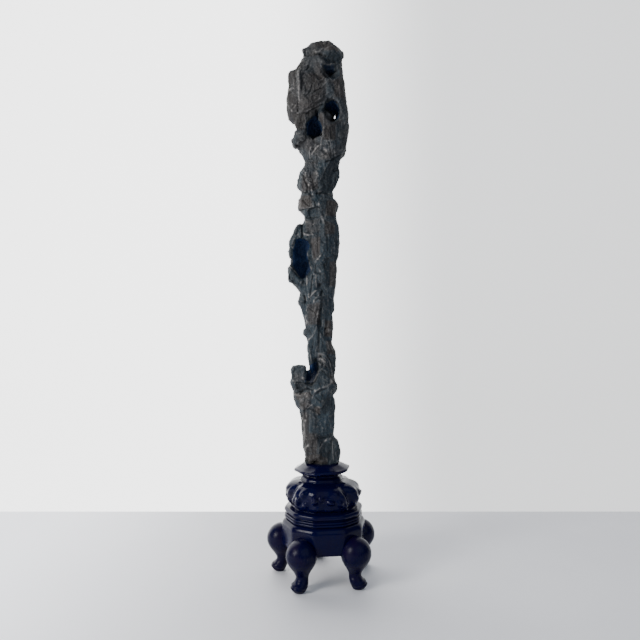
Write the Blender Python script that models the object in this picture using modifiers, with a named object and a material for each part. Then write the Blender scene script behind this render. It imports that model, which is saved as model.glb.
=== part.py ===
"""Scholar's rock on a carved five-legged stand.

A tall, pierced, dark limestone stands in the flared collar of a small black stand. The stand is a
five-sided body (collar, neck, relief-carved dome, waist mouldings and apron) on five legs, each with
a round knee that sits in an arch under the apron, a thin ankle and an outward foot.

Frame: +Z up, origin on the table under the middle of the stand, front towards -Y, +X to the right.
The tables are in millimetres and are turned into metres by MM.
"""
import math
import random

import bmesh
import bpy
from mathutils import Euler, Matrix, Vector, noise

MM = 0.001
GAP = 0.3                    # clear space between pieces that touch
CENTRING = (2.34, -2.62)     # moves the middle of the stand's outline onto the origin

# ---------------------------------------------------------------- stand: driving dimensions (mm)
LEG_NAMES = {                # azimuth of each leg, from the front towards the right
    "leg_front_right": 43.5,
    "leg_back_right": 119.0,
    "leg_back": 188.0,
    "leg_back_left": 258.0,
    "leg_front_left": 331.5,
}
SIDES = 5
SECTOR = 360.0 / SIDES
FIRST_CORNER = 43.5          # azimuth of one corner of the five-sided plan
BLOCK_HALF_ANGLE = 15.5      # half the width of the block over each leg, seen from the axis
STEP_ANGLE = 2.5             # the block steps back to the panel over this angle
PANEL_BULGE = 0.75           # 1 makes flat panels, less makes them swell between the blocks

LEG_RADIUS = 48.4            # from the stand's axis to a leg's axis
KNEE_HEIGHT = 38.5
KNEE_RADIUS = 15.4
KNEE_RINGS = (68, 45, 22, 2) # elevations of the knee's rings, in degrees
LEG_SEGMENTS = 12
ANKLE_HEIGHT = 15.0
FOOT_HEIGHT = 7.0            # the foot is widest here
FOOT_KICK = 1.4              # how far the foot leans out from the ankle
TOE_STRETCH = 0.25           # how much further the foot reaches outwards than its radius

SEAT_HEIGHT = 114.0          # underside of the stone, in the collar
COLLAR_SHIFT = (-1.8, -2.0)  # the carver's collar sits a little left and forward of the centre
SHIFT_FROM, SHIFT_TO = 84.0, 106.0

# Profile of the stand body: height, radius over the legs (corner), radius between them (panel).
BODY_PROFILE = [
    (36.2, 42.8, 41.0), (37.4, 43.9, 41.9), (60.5, 44.5, 42.4),
    (64.6, 43.6, 41.5), (66.6, 41.6, 39.8),                        # rounded top of the apron
    (67.6, 40.4, 38.8), (69.3, 42.1, 40.5), (70.5, 41.0, 39.4),    # lower double bead
    (71.8, 42.0, 40.4), (73.2, 40.0, 38.4),
    (75.0, 41.6, 40.0), (77.2, 42.2, 40.6), (79.2, 41.2, 39.4),    # upper bead
    (80.8, 36.6, 34.6),                                            # waist
    (83.6, 37.4, 34.2), (86.8, 38.4, 35.0), (90.0, 38.8, 35.2),    # dome
    (93.2, 38.2, 34.4), (96.4, 36.4, 32.6), (99.4, 33.4, 29.8), (102.0, 29.4, 26.8),
    (104.4, 24.6, 23.4),
    (105.6, 23.4, 22.3), (108.4, 24.4, 23.2), (113.0, 22.2, 21.2), # neck with its roll
    (114.8, 24.6, 23.0), (117.4, 29.2, 26.8), (118.6, 29.2, 26.8), # flared rim
    (121.6, 24.6, 23.2), (124.0, 20.4, 19.8),
]
RIM_HEIGHT = 118.0           # the rim's corners hang lower than its straight edges
RIM_DROOP = 2.2
RIM_REACH = 8.0              # above and below the rim, the droop dies away over this height

# Relief of the carved dome, repeated on each side: turn from a corner (degrees), height, radius of
# the knob, how far it rises.
DOME_KNOBS = [
    (0, 101.0, 6.0, 6.0), (0, 92.0, 7.0, 4.6), (0, 84.5, 6.0, 4.2),
    (36, 89.0, 10.0, 5.2), (25, 98.0, 6.0, 3.6), (47, 97.0, 6.0, 3.8),
    (20, 86.5, 6.0, 4.0), (52, 86.0, 6.0, 4.2), (36, 101.0, 5.0, 2.4),
]

# Profile of a leg below the knee: height, radius.
LEG_PROFILE = [
    (34.5, 15.1), (30.5, 13.2), (26.5, 10.6), (22.5, 8.0), (18.8, 6.2), (15.0, 5.7),
    (12.0, 7.0), (9.0, 8.3), (6.6, 8.4), (5.6, 7.7), (4.6, 7.9), (2.0, 6.8), (0.0, 5.0),
]

# ---------------------------------------------------------------- stone: driving dimensions (mm)
STONE_FORWARD = -2.0         # the stone stands in the collar, a little forward

# Cross-sections: height, left edge, front ridge, right edge, front depth, back depth.
STATIONS = [
    # head: flat cap, brow to the right, broad cheek
    (584, -9, -1, 5, -8, 8), (582, -14, -1, 12, -13, 12), (577, -22, -3, 16.5, -18, 16),
    (569, -23, -4, 21.5, -20, 19), (564, -25, -3, 20, -21, 19), (559, -30, -3, 21, -22, 20),
    (551, -39, 2, 22, -24, 21), (540, -41, 8, 22.5, -25, 22), (525, -41, 8, 24.5, -25, 22),
    (512, -38, 8, 27, -23, 22), (500, -34.5, 8, 28, -21, 21), (491, -31.5, 8, 28.5, -20, 20),
    (480, -31, 8, 27, -19, 20), (469, -28, 8, 25.5, -18, 18), (464, -26, 8, 24, -18, 17),
    # waist, with the rough lobe on the left
    (457, -22.5, 6, 17.5, -17, 16), (450, -22, 0, 17, -17, 15), (445, -26.5, -2, 18, -17, 15),
    (437, -29.5, -5, 15.5, -17, 14), (427, -30, -7, 13.5, -16, 14), (420, -25.5, -9, 11, -15, 13),
    (416, -25, -6, 10, -15, 13), (411, -29, -4, 15.5, -16, 14), (402, -29.5, -4, 16, -18, 14),
    (398, -25, -3, 14, -14, 14), (390, -21.5, 0, 14.5, -14, 13),
    # the part that holds the thin-rimmed hollow
    (385, -26, 0, 17, -14, 13), (380, -31, -1, 18, -15, 14), (370, -36.5, 0, 17.5, -16, 15),
    (357, -38.5, 0, 16.5, -17, 16), (346, -37, -2, 15.5, -17, 16), (340, -39, -4, 15.5, -17, 16),
    (327, -39.5, -7, 14, -16, 15), (315, -31, -7, 13.5, -15, 14),
    # column
    (306, -28.5, -4, 12, -14, 13), (300, -29, -3, 12, -14, 13), (292, -26, -4, 12.5, -13, 13),
    (283, -23, -5, 11, -13, 12), (274, -19.5, -7, 9, -12, 12), (262, -20, -8, 9, -12, 12),
    (250, -17.5, -7, 13.5, -11, 13), (240, -16.5, -5, 14.5, -9, 14), (230, -16, -4, 14, -6, 15),
    (212, -15, 0, 12.5, -6, 15),
    # foot: wide ledge, then the shaft down into the socket
    (210.5, -35, 2, 15, -15, 16), (204, -35, 0, 15, -16, 16), (200, -32, -2, 13.5, -15, 16),
    (196, -34, -2, 13, -16, 16), (187, -30.5, -3, 11.5, -16, 15), (181, -27, -5, 13.5, -15, 15),
    (172, -25, -8, 13, -15, 14), (160, -25.5, -10, 12, -15, 14), (152, -24, -10, 11, -15, 14),
    (144, -24, -8, 12, -15, 15), (134, -21.5, -6, 14, -15, 15), (125, -19, -4, 16, -15, 14),
    (113, -16.5, 0, 14.5, -13.5, 13),
]
# A section's corners: share of the way from edge to ridge (negative on the left), share of the depth
# (negative towards the front).
SECTION_CORNERS = [
    (-1.00, -0.10), (-0.72, -0.66), (-0.34, -0.92), (0.0, -1.00), (0.46, -0.86), (0.84, -0.52),
    (1.00, 0.06), (0.86, 0.62), (0.40, 0.92), (-0.10, 1.00), (-0.58, 0.84), (-0.92, 0.42),
]
SECTION_JITTER = 0.9

# Lumps fused on the core: kind, centre, half-sizes, tilt about X, tilt about Y (degrees).
LUMPS = [
    ("boulder", (9, -13, 567), (14, 13, 6.5), 0, 14),        # brow
    ("boulder", (-1.8, -22, 555.5), (3, 3, 3), 0, 0),        # nub under the brow
    ("boulder", (-15, -14, 530), (22, 15, 22), 0, 16),       # cheek
    ("boulder", (-25.3, -5, 480), (10, 12, 10), 0, 0),       # lump below the head
    ("boulder", (15, -5, 480), (12, 13, 22), 0, 4),          # smooth right flank
    ("boulder", (-16, -7, 433), (12, 11, 19), 0, 6),         # rough lobe of the waist
    ("boulder", (9, -5, 405), (7, 10, 10), 0, 0),
    ("boulder", (-7, -15, 340), (4.5, 3.5, 10), 0, 0),       # knobs beside the hollow
    ("boulder", (-33, -11, 325), (6.5, 6, 8), 0, -35),       # flange under the hollow
    ("boulder", (-20.4, -1, 266), (3.8, 6, 4.8), 0, 0),      # small nub on the column
    ("block", (-27.2, -5, 218), (7.0, 10, 12), 0, -3),       # stub of the fork
    ("boulder", (-28.5, -6, 212), (8.5, 11, 9), 0, 0),
    ("spire", (0.5, -11.5, 226), (12, 7, 21), 0, 0),         # pointed slab of the fork
    ("boulder", (2, -9, 206), (13, 9, 9), 0, 0),
    ("boulder", (-19, -5, 194), (14, 11.5, 13), 0, 14),      # broken shoulder under the ledge
    ("boulder", (12.3, -2, 138), (6.0, 10, 14), 0, -3),      # lobe low on the right
    ("boulder", (2, 15, 505), (15, 8, 17), 0, 20),           # back of the head
    ("boulder", (-4, 12, 352), (12, 7, 22), 0, -8),          # back of the column
    ("boulder", (-16, 13, 214), (8, 6, 12), 0, 0),           # web behind the fork
]

# Hollows cut from the stone: centre, half-sizes, tilt about X, tilt about Y (degrees).
HOLLOWS = [
    ((6, -27, 545), (11.5, 17, 8.5), 0, 8),       # under the brow
    ((8, -17, 504), (8.6, 20, 13), 0, -6),        # upper hole
    ((12.4, 4, 506), (2.5, 42, 5.0), 22, 0),      # ... and its way out at the back
    ((-10.3, -15, 488), (9.6, 20, 13), 0, 6),     # lower hole
    ((-6.4, -20, 499), (3.8, 10, 6), 0, 24),      # ... and its pointed upper end
    ((-22, -29, 490), (17, 13, 9.5), 0, -20),     # underside of the cheek
    ((-7, -28, 504), (10, 10, 5), 0, -24),
    ((-24.2, -12, 355), (9.4, 18.5, 16), 0, 0),   # thin-rimmed hollow
    ((-23.6, -12, 340), (10.4, 18.5, 17), 0, 10),
    ((-22.8, -14, 377), (1.3, 8, 9), 0, 4),       # slit above it
    ((-3.5, -17, 282), (2.6, 4.5, 34), 0, -5),    # groove down the column
    ((-13, -20, 394), (9, 6, 5), 0, 0),           # hollow under the waist's ledge
    ((8, -19.5, 432), (7, 5.5, 20), 0, -16),      # dark facet of the waist
    ((-15.2, -8, 220), (3.6, 14, 11), 0, 8),      # gap of the fork
    ((-10.2, -13, 229), (1.9, 8, 11), 0, 12),     # ... and the slit beside its slab
    ((2, 22, 430), (9, 9, 16), 0, 12),            # back of the waist
    ((6, 21, 250), (7, 8, 24), 0, -6),            # back of the column
]

SPIRE_TIP = 0.12             # share of its base left at a spire's tip
LUMP_JITTER = (0.93, 1.03)   # each lump's corners are moved in or out by this share
VOXEL = 1.5                  # grain of the fused stone
FOLD_DEPTH = 0.9             # upright folds: depth, and their size across and along the stone
FOLD_SIZE = (6.0, 30.0)
SWELL_DEPTH = 0.9            # rounded swellings
SWELL_SIZE = 16.0
CHIP_COUNT = 150             # flat facets: number, reach, depth, and how far they tilt
CHIP_REACH = (7.0, 17.0)
CHIP_DEPTH = (0.5, 1.8)
CHIP_TILT = 0.35
CHIP_FACING = 0.2            # least cosine between a facet's plane and the surface it cuts
STONE_TRIANGLES = 4350
SOCKET_GAP = 1.4 * GAP       # along the corners' normals, which leaves GAP between the faces
CUTTER_SIZE = 80.0

ROCK_SEED = 11


# ---------------------------------------------------------------- small helpers
def clear_scene():
    for item in list(bpy.context.scene.objects):
        bpy.data.objects.remove(item, do_unlink=True)


def new_collection(name):
    collection = bpy.data.collections.new(name)
    bpy.context.scene.collection.children.link(collection)
    return collection


def new_material(name, colour, roughness):
    material = bpy.data.materials.new(name)
    material.use_nodes = True
    shader = material.node_tree.nodes["Principled BSDF"]
    shader.inputs["Base Color"].default_value = (*colour, 1.0)
    shader.inputs["Roughness"].default_value = roughness
    return material


def object_from(bm, name, collection, material=None):
    """Make an object of a bmesh that is in millimetres, and free the bmesh."""
    bmesh.ops.translate(bm, vec=(*CENTRING, 0.0), verts=bm.verts)
    bmesh.ops.scale(bm, vec=(MM, MM, MM), verts=bm.verts)
    mesh = bpy.data.meshes.new(name)
    bm.to_mesh(mesh)
    bm.free()
    if material:
        mesh.materials.append(material)
    result = bpy.data.objects.new(name, mesh)
    collection.objects.link(result)
    return result


def add_modifier(target, kind, **settings):
    modifier = target.modifiers.new(kind.title(), kind)
    for key, value in settings.items():
        setattr(modifier, key, value)
    return modifier


def bake(target):
    """Turn an object's modifiers into its mesh."""
    graph = bpy.context.evaluated_depsgraph_get()
    mesh = bpy.data.meshes.new_from_object(target.evaluated_get(graph))
    target.modifiers.clear()
    target.data = mesh


def make_helper(target):
    target.hide_render = True
    target.display_type = "WIRE"


def bearing(azimuth):
    """Unit vector from the axis, for an azimuth from the front towards the right."""
    angle = math.radians(azimuth)
    return Vector((math.sin(angle), -math.cos(angle), 0.0))


def smooth_step(value):
    value = min(max(value, 0.0), 1.0)
    return value * value * (3.0 - 2.0 * value)


# ---------------------------------------------------------------- stone
def add_core(bm):
    """Loft the stone's core through its cross-sections."""
    rng = random.Random(ROCK_SEED)
    rings = []
    for height, left, ridge, right, front, back in STATIONS:
        ring = []
        for side, depth in SECTION_CORNERS:
            edge = left if side < 0 else right
            x = ridge + abs(side) * (edge - ridge)
            y = depth * (-front if depth < 0 else back)
            if abs(side) < 1.0:
                x += rng.uniform(-1, 1) * SECTION_JITTER
                y += rng.uniform(-1, 1) * SECTION_JITTER
            ring.append(bm.verts.new((x, y, height)))
        rings.append(ring)
    count = len(SECTION_CORNERS)
    for upper, lower in zip(rings, rings[1:]):
        for i in range(count):
            j = (i + 1) % count
            bm.faces.new((upper[i], lower[i], lower[j], upper[j]))
    bm.faces.new(rings[0])
    bm.faces.new(reversed(rings[-1]))


def add_lump(bm, kind, centre, half, tilt_x, tilt_y, rng):
    """Add a rough boulder, block or spire; its size is given by its half-sizes."""
    if kind == "boulder":
        verts = bmesh.ops.create_icosphere(bm, subdivisions=2, radius=1.0)["verts"]
    elif kind == "block":
        verts = bmesh.ops.create_cube(bm, size=2.0)["verts"]
    else:
        verts = bmesh.ops.create_cone(bm, cap_ends=True, segments=6, radius1=1.0,
                                      radius2=SPIRE_TIP, depth=2.0)["verts"]
    for vert in verts:
        vert.co *= rng.uniform(*LUMP_JITTER)
    turn = Euler((math.radians(tilt_x), math.radians(tilt_y), 0.0)).to_matrix().to_4x4()
    size = Matrix.Diagonal((*half, 1.0))
    bmesh.ops.transform(bm, matrix=Matrix.Translation(centre) @ turn @ size, verts=verts)


def chip(vertices, normals, rng):
    """Knock flat facets off a surface: what faces a chip's plane and stands proud of it is cut."""
    for _ in range(CHIP_COUNT):
        start = rng.randrange(len(vertices))
        reach = rng.uniform(*CHIP_REACH) * MM
        tilt = Vector([rng.uniform(-CHIP_TILT, CHIP_TILT) for _ in range(3)])
        facing = (normals[start] + tilt).normalized()
        level = vertices[start].dot(facing) - rng.uniform(*CHIP_DEPTH) * MM
        centre = vertices[start].copy()
        for vertex, normal in zip(vertices, normals):
            away = (vertex - centre).length / reach
            if away < 1.0 and normal.dot(facing) > CHIP_FACING:
                proud = vertex.dot(facing) - level
                if proud > 0.0:
                    vertex -= facing * proud * (1.0 - away ** 4)


def weather(mesh):
    """Fold, roughen and chip the surface of the stone."""
    rng = random.Random(ROCK_SEED + 1)
    normals = [v.normal.copy() for v in mesh.vertices]
    vertices = [v.co.copy() for v in mesh.vertices]
    for vertex, normal in zip(vertices, normals):
        point = vertex / MM
        across, along = FOLD_SIZE
        folds = noise.noise(Vector((point.x / across, point.y / across, point.z / along)))
        swells = noise.fractal(point / SWELL_SIZE, 0.8, 2.1, 3)
        vertex += normal * (FOLD_DEPTH * folds + SWELL_DEPTH * swells) * MM
    chip(vertices, normals, rng)
    for target, vertex in zip(mesh.vertices, vertices):
        target.co = vertex


def build_stone(parts, cutters, material):
    rng = random.Random(ROCK_SEED + 2)
    bm = bmesh.new()
    add_core(bm)
    for kind, centre, half, tilt_x, tilt_y in LUMPS:
        add_lump(bm, kind, centre, half, tilt_x, tilt_y, rng)
    bmesh.ops.translate(bm, vec=(0, STONE_FORWARD, 0), verts=bm.verts)
    stone = object_from(bm, "stone", parts, material)

    bm = bmesh.new()
    for centre, half, tilt_x, tilt_y in HOLLOWS:
        add_lump(bm, "boulder", centre, half, tilt_x, tilt_y, rng)
    bmesh.ops.translate(bm, vec=(0, STONE_FORWARD, 0), verts=bm.verts)
    hollows = object_from(bm, "hollows", cutters)
    add_modifier(hollows, "REMESH", mode="VOXEL", voxel_size=VOXEL * MM)
    make_helper(hollows)

    add_modifier(stone, "REMESH", mode="VOXEL", voxel_size=VOXEL * MM)
    add_modifier(stone, "BOOLEAN", operation="DIFFERENCE", object=hollows)
    add_modifier(stone, "REMESH", mode="VOXEL", voxel_size=VOXEL * MM)
    bake(stone)
    weather(stone.data)

    bm = bmesh.new()
    below_seat = Matrix.Translation((0, 0, SEAT_HEIGHT - CUTTER_SIZE / 2))
    bmesh.ops.create_cube(bm, size=CUTTER_SIZE, matrix=below_seat)
    seat_plane = object_from(bm, "seat_plane", cutters)
    make_helper(seat_plane)
    add_modifier(stone, "REMESH", mode="VOXEL", voxel_size=VOXEL * MM)
    add_modifier(stone, "TRIANGULATE")
    bake(stone)
    add_modifier(stone, "DECIMATE", ratio=STONE_TRIANGLES / len(stone.data.polygons))
    add_modifier(stone, "BOOLEAN", operation="DIFFERENCE", object=seat_plane)
    add_modifier(stone, "TRIANGULATE")
    bake(stone)
    return stone


# ---------------------------------------------------------------- stand
def plan_radius(turn, corner, panel):
    """Radius of the five-sided plan, turn degrees from a corner: a flat block, then a panel."""
    turn = abs(turn)
    block = corner / math.cos(math.radians(min(turn, BLOCK_HALF_ANGLE)))
    from_middle = (SECTOR / 2 - turn) * PANEL_BULGE
    side = panel / math.cos(math.radians(from_middle))
    return block + (side - block) * smooth_step((turn - BLOCK_HALF_ANGLE) / STEP_ANGLE)


def plan_turns():
    """Turns from a corner at which the plan is sampled, over one sector."""
    half = [0.0, 7.0, BLOCK_HALF_ANGLE, BLOCK_HALF_ANGLE + STEP_ANGLE, 27.0]
    return [-t for t in reversed(half[1:])] + half + [SECTOR / 2]


def shift_at(height):
    share = smooth_step((height - SHIFT_FROM) / (SHIFT_TO - SHIFT_FROM))
    return Vector((*COLLAR_SHIFT, 0.0)) * share


def relief(turn, height, radius):
    """How far the dome's knobs stand out, turn degrees from a corner."""
    rise = 0.0
    for knob_turn, knob_height, reach, knob_rise in DOME_KNOBS:
        aside = (turn - knob_turn + SECTOR / 2) % SECTOR - SECTOR / 2
        distance = math.hypot(math.radians(aside) * radius, height - knob_height)
        rise = max(rise, knob_rise * smooth_step(1.2 - 1.2 * distance / reach))
    return rise


def add_ring(bm, height, corner, panel):
    ring = []
    for side in range(SIDES):
        for turn in plan_turns():
            radius = plan_radius(turn, corner, panel)
            radius += relief(turn, height, radius)
            point = bearing(FIRST_CORNER + side * SECTOR + turn) * radius
            near_rim = smooth_step(1.0 - abs(height - RIM_HEIGHT) / RIM_REACH)
            droop = RIM_DROOP * near_rim * (1.0 - smooth_step(abs(turn) / (SECTOR / 2)))
            ring.append(bm.verts.new(point + shift_at(height) + Vector((0, 0, height - droop))))
    return ring


def leg_bmesh(swell=0.0):
    """A leg about its own axis, leaning out along +X at the foot; swell makes it larger."""
    outline = [(KNEE_HEIGHT + (KNEE_RADIUS + swell) * math.sin(math.radians(a)),
                (KNEE_RADIUS + swell) * math.cos(math.radians(a))) for a in KNEE_RINGS]
    outline += [(height, radius + swell) for height, radius in LEG_PROFILE]
    bm = bmesh.new()
    rings = []
    for height, radius in outline:
        foot = smooth_step((ANKLE_HEIGHT - height) / (ANKLE_HEIGHT - FOOT_HEIGHT))
        ring = []
        for i in range(LEG_SEGMENTS):
            angle = 2 * math.pi * i / LEG_SEGMENTS
            outward = max(math.cos(angle), 0.0) * TOE_STRETCH * foot
            ring.append(bm.verts.new((FOOT_KICK * foot + radius * (math.cos(angle) + outward),
                                      radius * math.sin(angle), height)))
        rings.append(ring)
    crown = bm.verts.new((0, 0, KNEE_HEIGHT + KNEE_RADIUS + swell))
    for i in range(LEG_SEGMENTS):
        j = (i + 1) % LEG_SEGMENTS
        bm.faces.new((crown, rings[0][i], rings[0][j]))
        for upper, lower in zip(rings, rings[1:]):
            bm.faces.new((upper[i], lower[i], lower[j], upper[j]))
    bm.faces.new(reversed(rings[-1]))
    return bm


def place_leg(bm, azimuth):
    out = bearing(azimuth)
    turn = Matrix.Rotation(math.atan2(out.y, out.x), 4, "Z")
    bmesh.ops.transform(bm, matrix=Matrix.Translation(out * LEG_RADIUS) @ turn, verts=bm.verts)


def build_legs(parts, material):
    for name, azimuth in LEG_NAMES.items():
        bm = leg_bmesh()
        place_leg(bm, azimuth)
        object_from(bm, name, parts, material)


def build_body(parts, cutters, material, stone):
    bm = bmesh.new()
    rings = [add_ring(bm, *row) for row in BODY_PROFILE]
    count = len(rings[0])
    for lower, upper in zip(rings, rings[1:]):
        for i in range(count):
            j = (i + 1) % count
            bm.faces.new((lower[i], lower[j], upper[j], upper[i]))
    bm.faces.new(reversed(rings[0]))
    bm.faces.new(rings[-1])
    body = object_from(bm, "stand_body", parts, material)

    bm = bmesh.new()
    scratch = bpy.data.meshes.new("leg_seat")
    for azimuth in LEG_NAMES.values():
        seat = leg_bmesh(swell=GAP)
        place_leg(seat, azimuth)
        seat.to_mesh(scratch)
        seat.free()
        bm.from_mesh(scratch)
    bpy.data.meshes.remove(scratch)
    leg_seats = object_from(bm, "leg_seats", cutters)
    make_helper(leg_seats)

    socket = stone.copy()
    socket.data = stone.data.copy()
    socket.name = "stone_socket"
    cutters.objects.link(socket)
    add_modifier(socket, "DISPLACE", strength=SOCKET_GAP * MM, mid_level=0.0)
    make_helper(socket)

    add_modifier(body, "BOOLEAN", operation="DIFFERENCE", object=leg_seats)
    add_modifier(body, "BOOLEAN", operation="DIFFERENCE", object=socket)
    add_modifier(body, "TRIANGULATE")
    return body


def main():
    clear_scene()
    parts = new_collection("scholars_rock")
    cutters = new_collection("cutters")
    limestone = new_material("dark_limestone", (0.055, 0.052, 0.055), 0.55)
    lacquer = new_material("black_lacquered_wood", (0.008, 0.008, 0.014), 0.28)
    stone = build_stone(parts, cutters, limestone)
    build_body(parts, cutters, lacquer, stone)
    build_legs(parts, lacquer)


main()
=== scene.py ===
"""Looks of the scholar's rock on its carved five-legged stand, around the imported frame.

The stone's solid is remeshed finely and worked over with ledges, facets, grooves and grain. The stand's
body and legs are built again as smooth carved wood in the places of their solids. Tables are in
millimetres; the object is in metres, front towards -Y.
"""
import math
import random

import bmesh
import bpy
import numpy as np
from mathutils import Euler, Matrix, Vector, kdtree, noise


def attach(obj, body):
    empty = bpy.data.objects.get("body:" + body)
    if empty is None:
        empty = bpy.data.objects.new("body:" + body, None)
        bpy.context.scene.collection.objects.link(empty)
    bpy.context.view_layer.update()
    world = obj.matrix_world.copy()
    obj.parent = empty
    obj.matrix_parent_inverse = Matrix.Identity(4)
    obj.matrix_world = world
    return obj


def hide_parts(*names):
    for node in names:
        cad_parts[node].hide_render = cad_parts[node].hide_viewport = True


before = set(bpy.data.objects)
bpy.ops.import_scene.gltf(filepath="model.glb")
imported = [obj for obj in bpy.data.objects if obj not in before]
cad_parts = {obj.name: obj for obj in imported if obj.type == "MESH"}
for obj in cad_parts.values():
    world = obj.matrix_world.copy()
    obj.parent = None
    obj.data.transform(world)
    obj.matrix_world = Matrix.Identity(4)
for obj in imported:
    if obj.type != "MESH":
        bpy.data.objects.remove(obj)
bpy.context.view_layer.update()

MM = 0.001
TINY = 1e-9  # keeps a division by nothing away
FRACTAL_FALL, FRACTAL_STEP = 0.8, 2.1  # how fast a fractal's octaves weaken, and how much finer each is

# ---------------- camera
EYE = Vector((-0.00176, -0.6096, 0.260))  # level view of the front
LENS, SENSOR, SHIFT_UP = 30.9, 36.0, 0.029
FRONT_PLANE_Y = -4.6  # mm, the upright plane through the stone's axis
FRONT_PLANE_X = 2.34  # mm, where front-plane x = 0 lies in the frame


def camera():
    data = bpy.data.cameras.new("camera")
    data.lens = LENS
    data.sensor_width = SENSOR
    data.shift_y = SHIFT_UP
    view = new_object("camera", data)
    view.location = EYE
    view.rotation_euler = (math.radians(90), 0, 0)
    bpy.context.scene.camera = view


# ---------------- small helpers
def smooth(value):
    value = np.clip(value, 0.0, 1.0)
    return value * value * (3.0 - 2.0 * value)


def new_object(name, data, material=None):
    if material:
        data.materials.clear()
        data.materials.append(material)
    result = bpy.data.objects.new(name, data)
    bpy.context.scene.collection.objects.link(result)
    return result


def add_modifier(target, kind, **settings):
    modifier = target.modifiers.new(kind.title(), kind)
    for key, value in settings.items():
        setattr(modifier, key, value)
    return modifier


def bake(target):
    """Turn an object's modifiers into its mesh."""
    graph = bpy.context.evaluated_depsgraph_get()
    mesh = bpy.data.meshes.new_from_object(target.evaluated_get(graph))
    target.modifiers.clear()
    target.data = mesh


def mesh_from(name, corners, faces):
    mesh = bpy.data.meshes.new(name)
    mesh.from_pydata(corners, [], faces)
    return mesh


def finished_mesh(name, bm):
    mesh = bpy.data.meshes.new(name)
    bm.to_mesh(mesh)
    bm.free()
    return mesh


def shade_smooth(mesh):
    mesh.polygons.foreach_set("use_smooth", [True] * len(mesh.polygons))


def read(items, key, width, kind):
    """A value of each of a mesh's parts, as rows of an array."""
    values = np.empty(len(items) * width, kind)
    items.foreach_get(key, values)
    return values.reshape(-1, width)


def set_places(mesh, places):
    mesh.vertices.foreach_set("co", (places * MM).astype(np.float32).ravel())
    mesh.update()


def set_attribute(mesh, name, values):
    layer = mesh.attributes.new(name, "FLOAT", "POINT")
    layer.data.foreach_set("value", np.asarray(values, np.float32))


def noise_field(points):
    return np.array([noise.noise(Vector(p)) for p in points])


def fractal_field(points, octaves):
    return np.array([noise.fractal(Vector(p), FRACTAL_FALL, FRACTAL_STEP, octaves) for p in points])


def bearing(azimuth):
    """Unit vector from the axis, for an azimuth from the front towards the right."""
    angle = math.radians(azimuth)
    return Vector((math.sin(angle), -math.cos(angle), 0.0))


# ---------------- materials
class Nodes:
    """A short way to wire a material."""

    def __init__(self, name):
        self.material = bpy.data.materials.new(name)
        self.material.use_nodes = True
        self.tree = self.material.node_tree
        self.shader = self.tree.nodes["Principled BSDF"]

    def add(self, kind, inputs=None, **settings):
        node = self.tree.nodes.new(kind)
        for key, value in settings.items():
            setattr(node, key, value)
        for key, value in (inputs or {}).items():
            self.join(value, node.inputs[key])
        return node

    def join(self, value, socket):
        if isinstance(value, bpy.types.NodeSocket):
            self.tree.links.new(value, socket)
        else:
            socket.default_value = value

    def coords(self, scale=(1.0, 1.0, 1.0), turn=(0.0, 0.0, 0.0)):
        place = self.add("ShaderNodeTexCoord").outputs["Object"]
        turn = tuple(math.radians(t) for t in turn)
        return self.add("ShaderNodeMapping", {"Vector": place, "Scale": scale, "Rotation": turn}).outputs[0]

    def noise(self, vector, scale, detail=4.0, roughness=0.55, distortion=0.0):
        node = self.add("ShaderNodeTexNoise", {"Vector": vector, "Scale": scale, "Detail": detail,
                                               "Roughness": roughness, "Distortion": distortion})
        return node.outputs[0]

    def attribute(self, name):
        return self.add("ShaderNodeAttribute", attribute_name=name).outputs["Fac"]

    def math(self, operation, first, second=0.0, third=0.0):
        node = self.add("ShaderNodeMath", operation=operation)
        for socket, value in zip(node.inputs, (first, second, third)):
            self.join(value, socket)
        return node.outputs[0]

    def ramp(self, value, low, high, to_low=0.0, to_high=1.0):
        node = self.add("ShaderNodeMapRange", {"Value": value, "From Min": low, "From Max": high,
                                               "To Min": to_low, "To Max": to_high},
                        interpolation_type="SMOOTHSTEP")
        return node.outputs[0]

    def mix(self, factor, first, second, blend="MIX"):
        node = self.add("ShaderNodeMix", data_type="RGBA", blend_type=blend)
        self.join(factor, node.inputs["Factor"])
        for name, value in (("A", first), ("B", second)):
            socket = [s for s in node.inputs if s.name == name and s.type == "RGBA"][0]
            self.join(value, socket)
        return [s for s in node.outputs if s.type == "RGBA"][0]

    def bump(self, height, strength, distance):
        inputs = {"Height": height, "Strength": strength, "Distance": distance}
        return self.add("ShaderNodeBump", inputs).outputs[0]

    def set(self, **values):
        """Join values to the shader's sockets, and set constants on them."""
        for key, value in values.items():
            self.join(value, self.shader.inputs[key.replace("_", " ")])


# Limestone: its two greys, then what lies over them (linear colours).
COOL_GREY = (0.0125, 0.0265, 0.0375, 1)
WARM_GREY = (0.033, 0.027, 0.024, 1)
DARK_PATCH = (0.008, 0.010, 0.014, 1)
PALE_FLECK = (0.085, 0.084, 0.082, 1)
DARK_GRAIN = (0.005, 0.006, 0.008, 1)
DARK_STREAK = (0.005, 0.007, 0.010, 1)
PALE_STREAK = (0.095, 0.094, 0.092, 1)
# Pale of worn edges, and painted highlight along edges and ridges.
WORN_EDGE_AND_HIGHLIGHT = (0.105, 0.104, 0.102, 1)
CALCITE = (0.27, 0.25, 0.235, 1)
# Painted shade: the near-black navy laid inside the hollows and under the brow.
HOLLOW_SHADE_COLOUR = (0.001, 0.013, 0.048, 1)
BEDDING = (0.0, 24.0, 0.0)  # turn of the stone's streaks (degrees)

# Lacquers: colour, colour where it is rubbed brown, roughness.
BLACK_LACQUER = ((0.0006, 0.0012, 0.023, 1), (0.0021, 0.0013, 0.020, 1), 0.15)
RUBBED_LACQUER = ((0.0006, 0.0007, 0.020, 1), (0.0042, 0.0012, 0.019, 1), 0.28)
WOOD_PORE = (0.012, 0.010, 0.018, 1)

TABLE_PAINT = ((0.74, 0.74, 0.775, 1), (0.77, 0.77, 0.80, 1))
TABLE_GLOW = (0.92, 0.94, 1.0, 1)
WALL_PAINT = (0.86, 0.86, 0.85, 1)
WALL_GLOW = (1.0, 1.0, 0.99, 1)


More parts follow.
